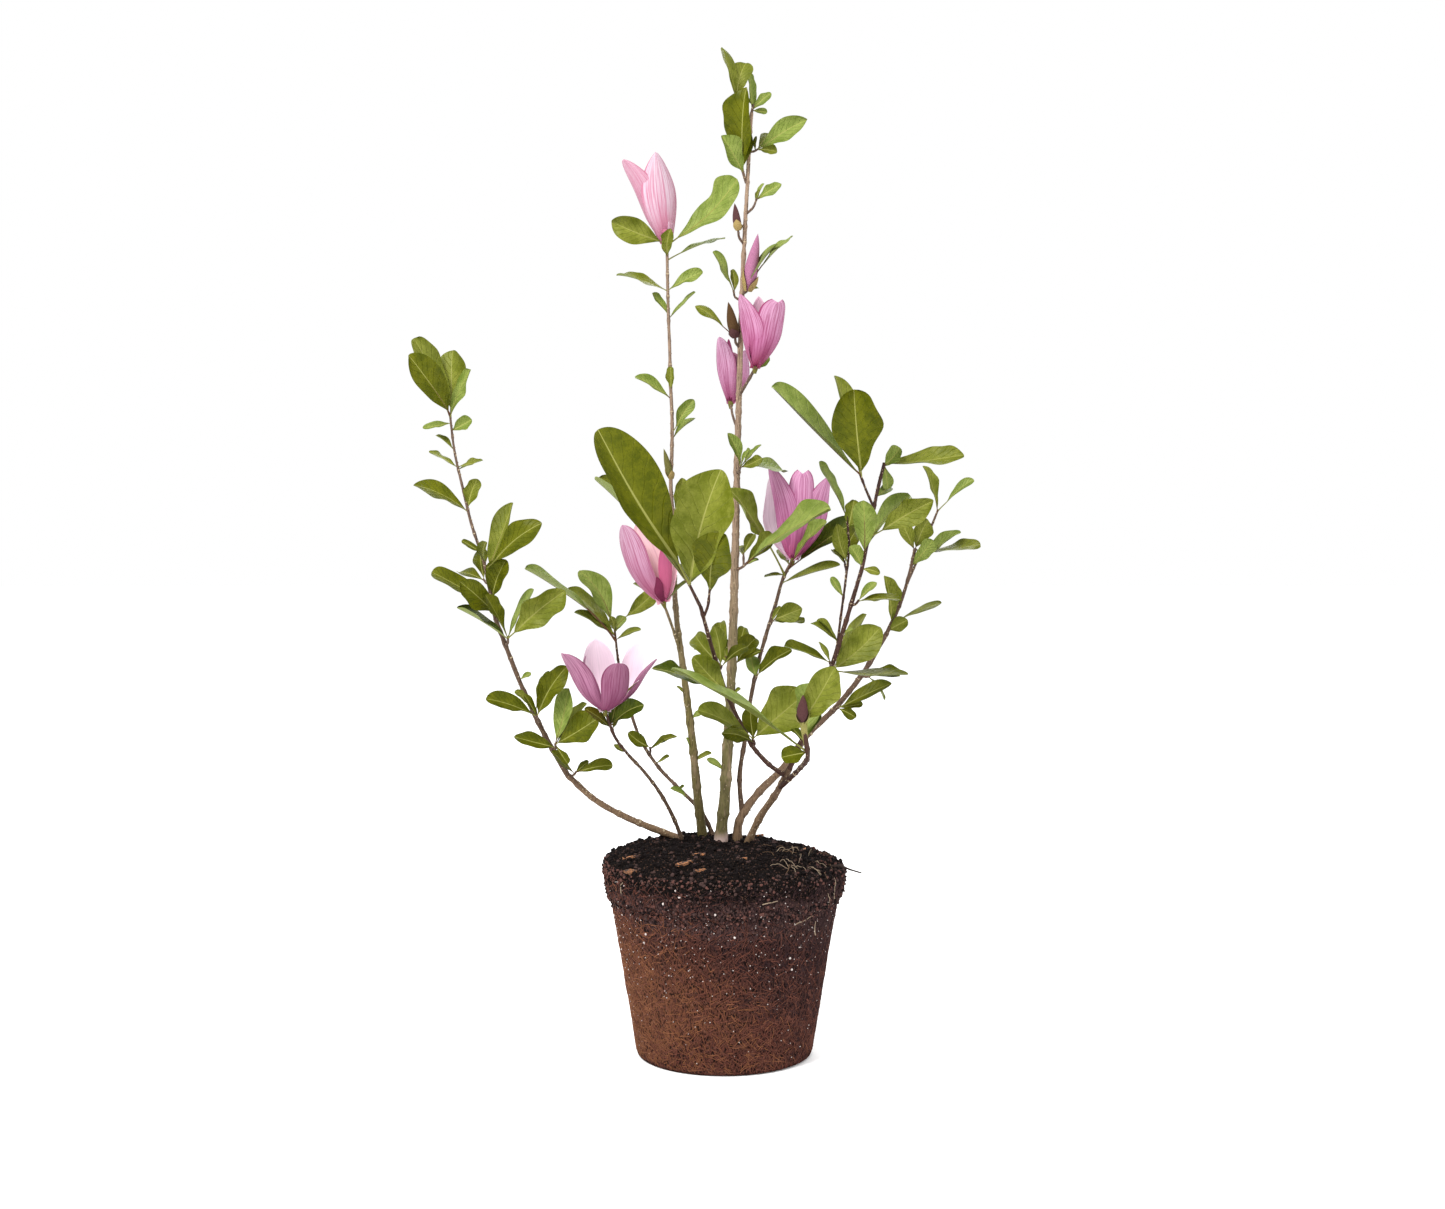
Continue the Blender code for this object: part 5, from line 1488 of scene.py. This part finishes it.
for title, masses in BUNCHES:
    blades, woods = Heap(), Heap()
    finish = WOOD_NAMES.index(BARK_OF_BUNCH[title])
    for name, leaves, tones, twigs, bloom, bud_at in masses:
        limb = LIMBS[name]
        shown, sprigs = grown(limb, random.Random(name), leaves, tones, twigs)
        dice = random.Random(name + " looks")
        woods.add(hoops(*limb.bark_line(knots_of(name)), 8), finish)
        for twig in sprigs:
            woods.add(hoops(*twig.bark_line([0.6]), 6), finish)
        for leaf, tone in shown:
            leaf.grow(blades, dice, TONES.index(tone))
        if bud_at:
            core, scale = (WOOD_NAMES.index(colour) for colour in BUD_COLOURS[name])
            share, side, forward, length, width = bud_at
            bud = Bloom(limb.at(share), side, forward + BUD_LEAN.get(name, 0), length)
            bud.grow_bud(woods, dice, width, core, scale)
            if share == TIP:
                neck = [limb.at(share) for share in (0.82, 0.86, 0.9, 0.95, 1)]
                woods.add(hoops(neck, (2.6, 2.9, 3.1, 3.6, 3.2), 10), scale)
        if bloom:
            show_bloom(name, Bloom(limb.at(TIP), *bloom))
    plants = [entry[0] for entry in masses if not entry[4]]
    blades.piece(title + "_leaves", LEAF_FINISHES, "leaf", plants, crease=40)
    woods.piece(title + "_twigs", WOODS, "brown_bark")

# Small new leaves straight out of the bark: the limb, how far up it they show, degrees to the side
# and to the front, length, width and tone
SPROUTS = (("left_tall_stem", 376, 60, 5, 20, 6, "P"), ("left_tall_stem", 331, 65, 0, 22, 7, "Y"),
           ("left_tall_stem", 340, -25, 10, 20, 4, "P"), ("trunk", 319, -55, 15, 28, 8, "P"),
           ("left_back_stem", 289, -60, 0, 25, 7, "P"), ("left_back_stem", 328, 60, 5, 18, 5, "Y"),
           ("left_back_stem", 300, 40, 30, 9, 4, "P"), ("right_stem", 352, -35, 10, 12, 4, "P"),
           ("trunk", 402, 50, 20, 16, 4, "Y"), ("left_tall_stem", 404, -50, 10, 15, 4, "Y"),
           ("left_arching_bough", 420, 60, 10, 16, 5, "P"), ("dark_bough", 470, 60, 10, 14, 4, "P"))
dice = random.Random("sprouts")
sprouts = Heap()
for name, up, side, forward, length, width, tone in SPROUTS:
    limb = LIMBS[name]
    leaf = Leaf(limb.at(limb.share_at(up)), side, forward, length, width, SHORT_STALK, 18, 20)
    leaf.grow(sprouts, dice, TONES.index(tone))
sprouts.piece("small_new_leaves", LEAF_FINISHES, "leaf", crease=40)
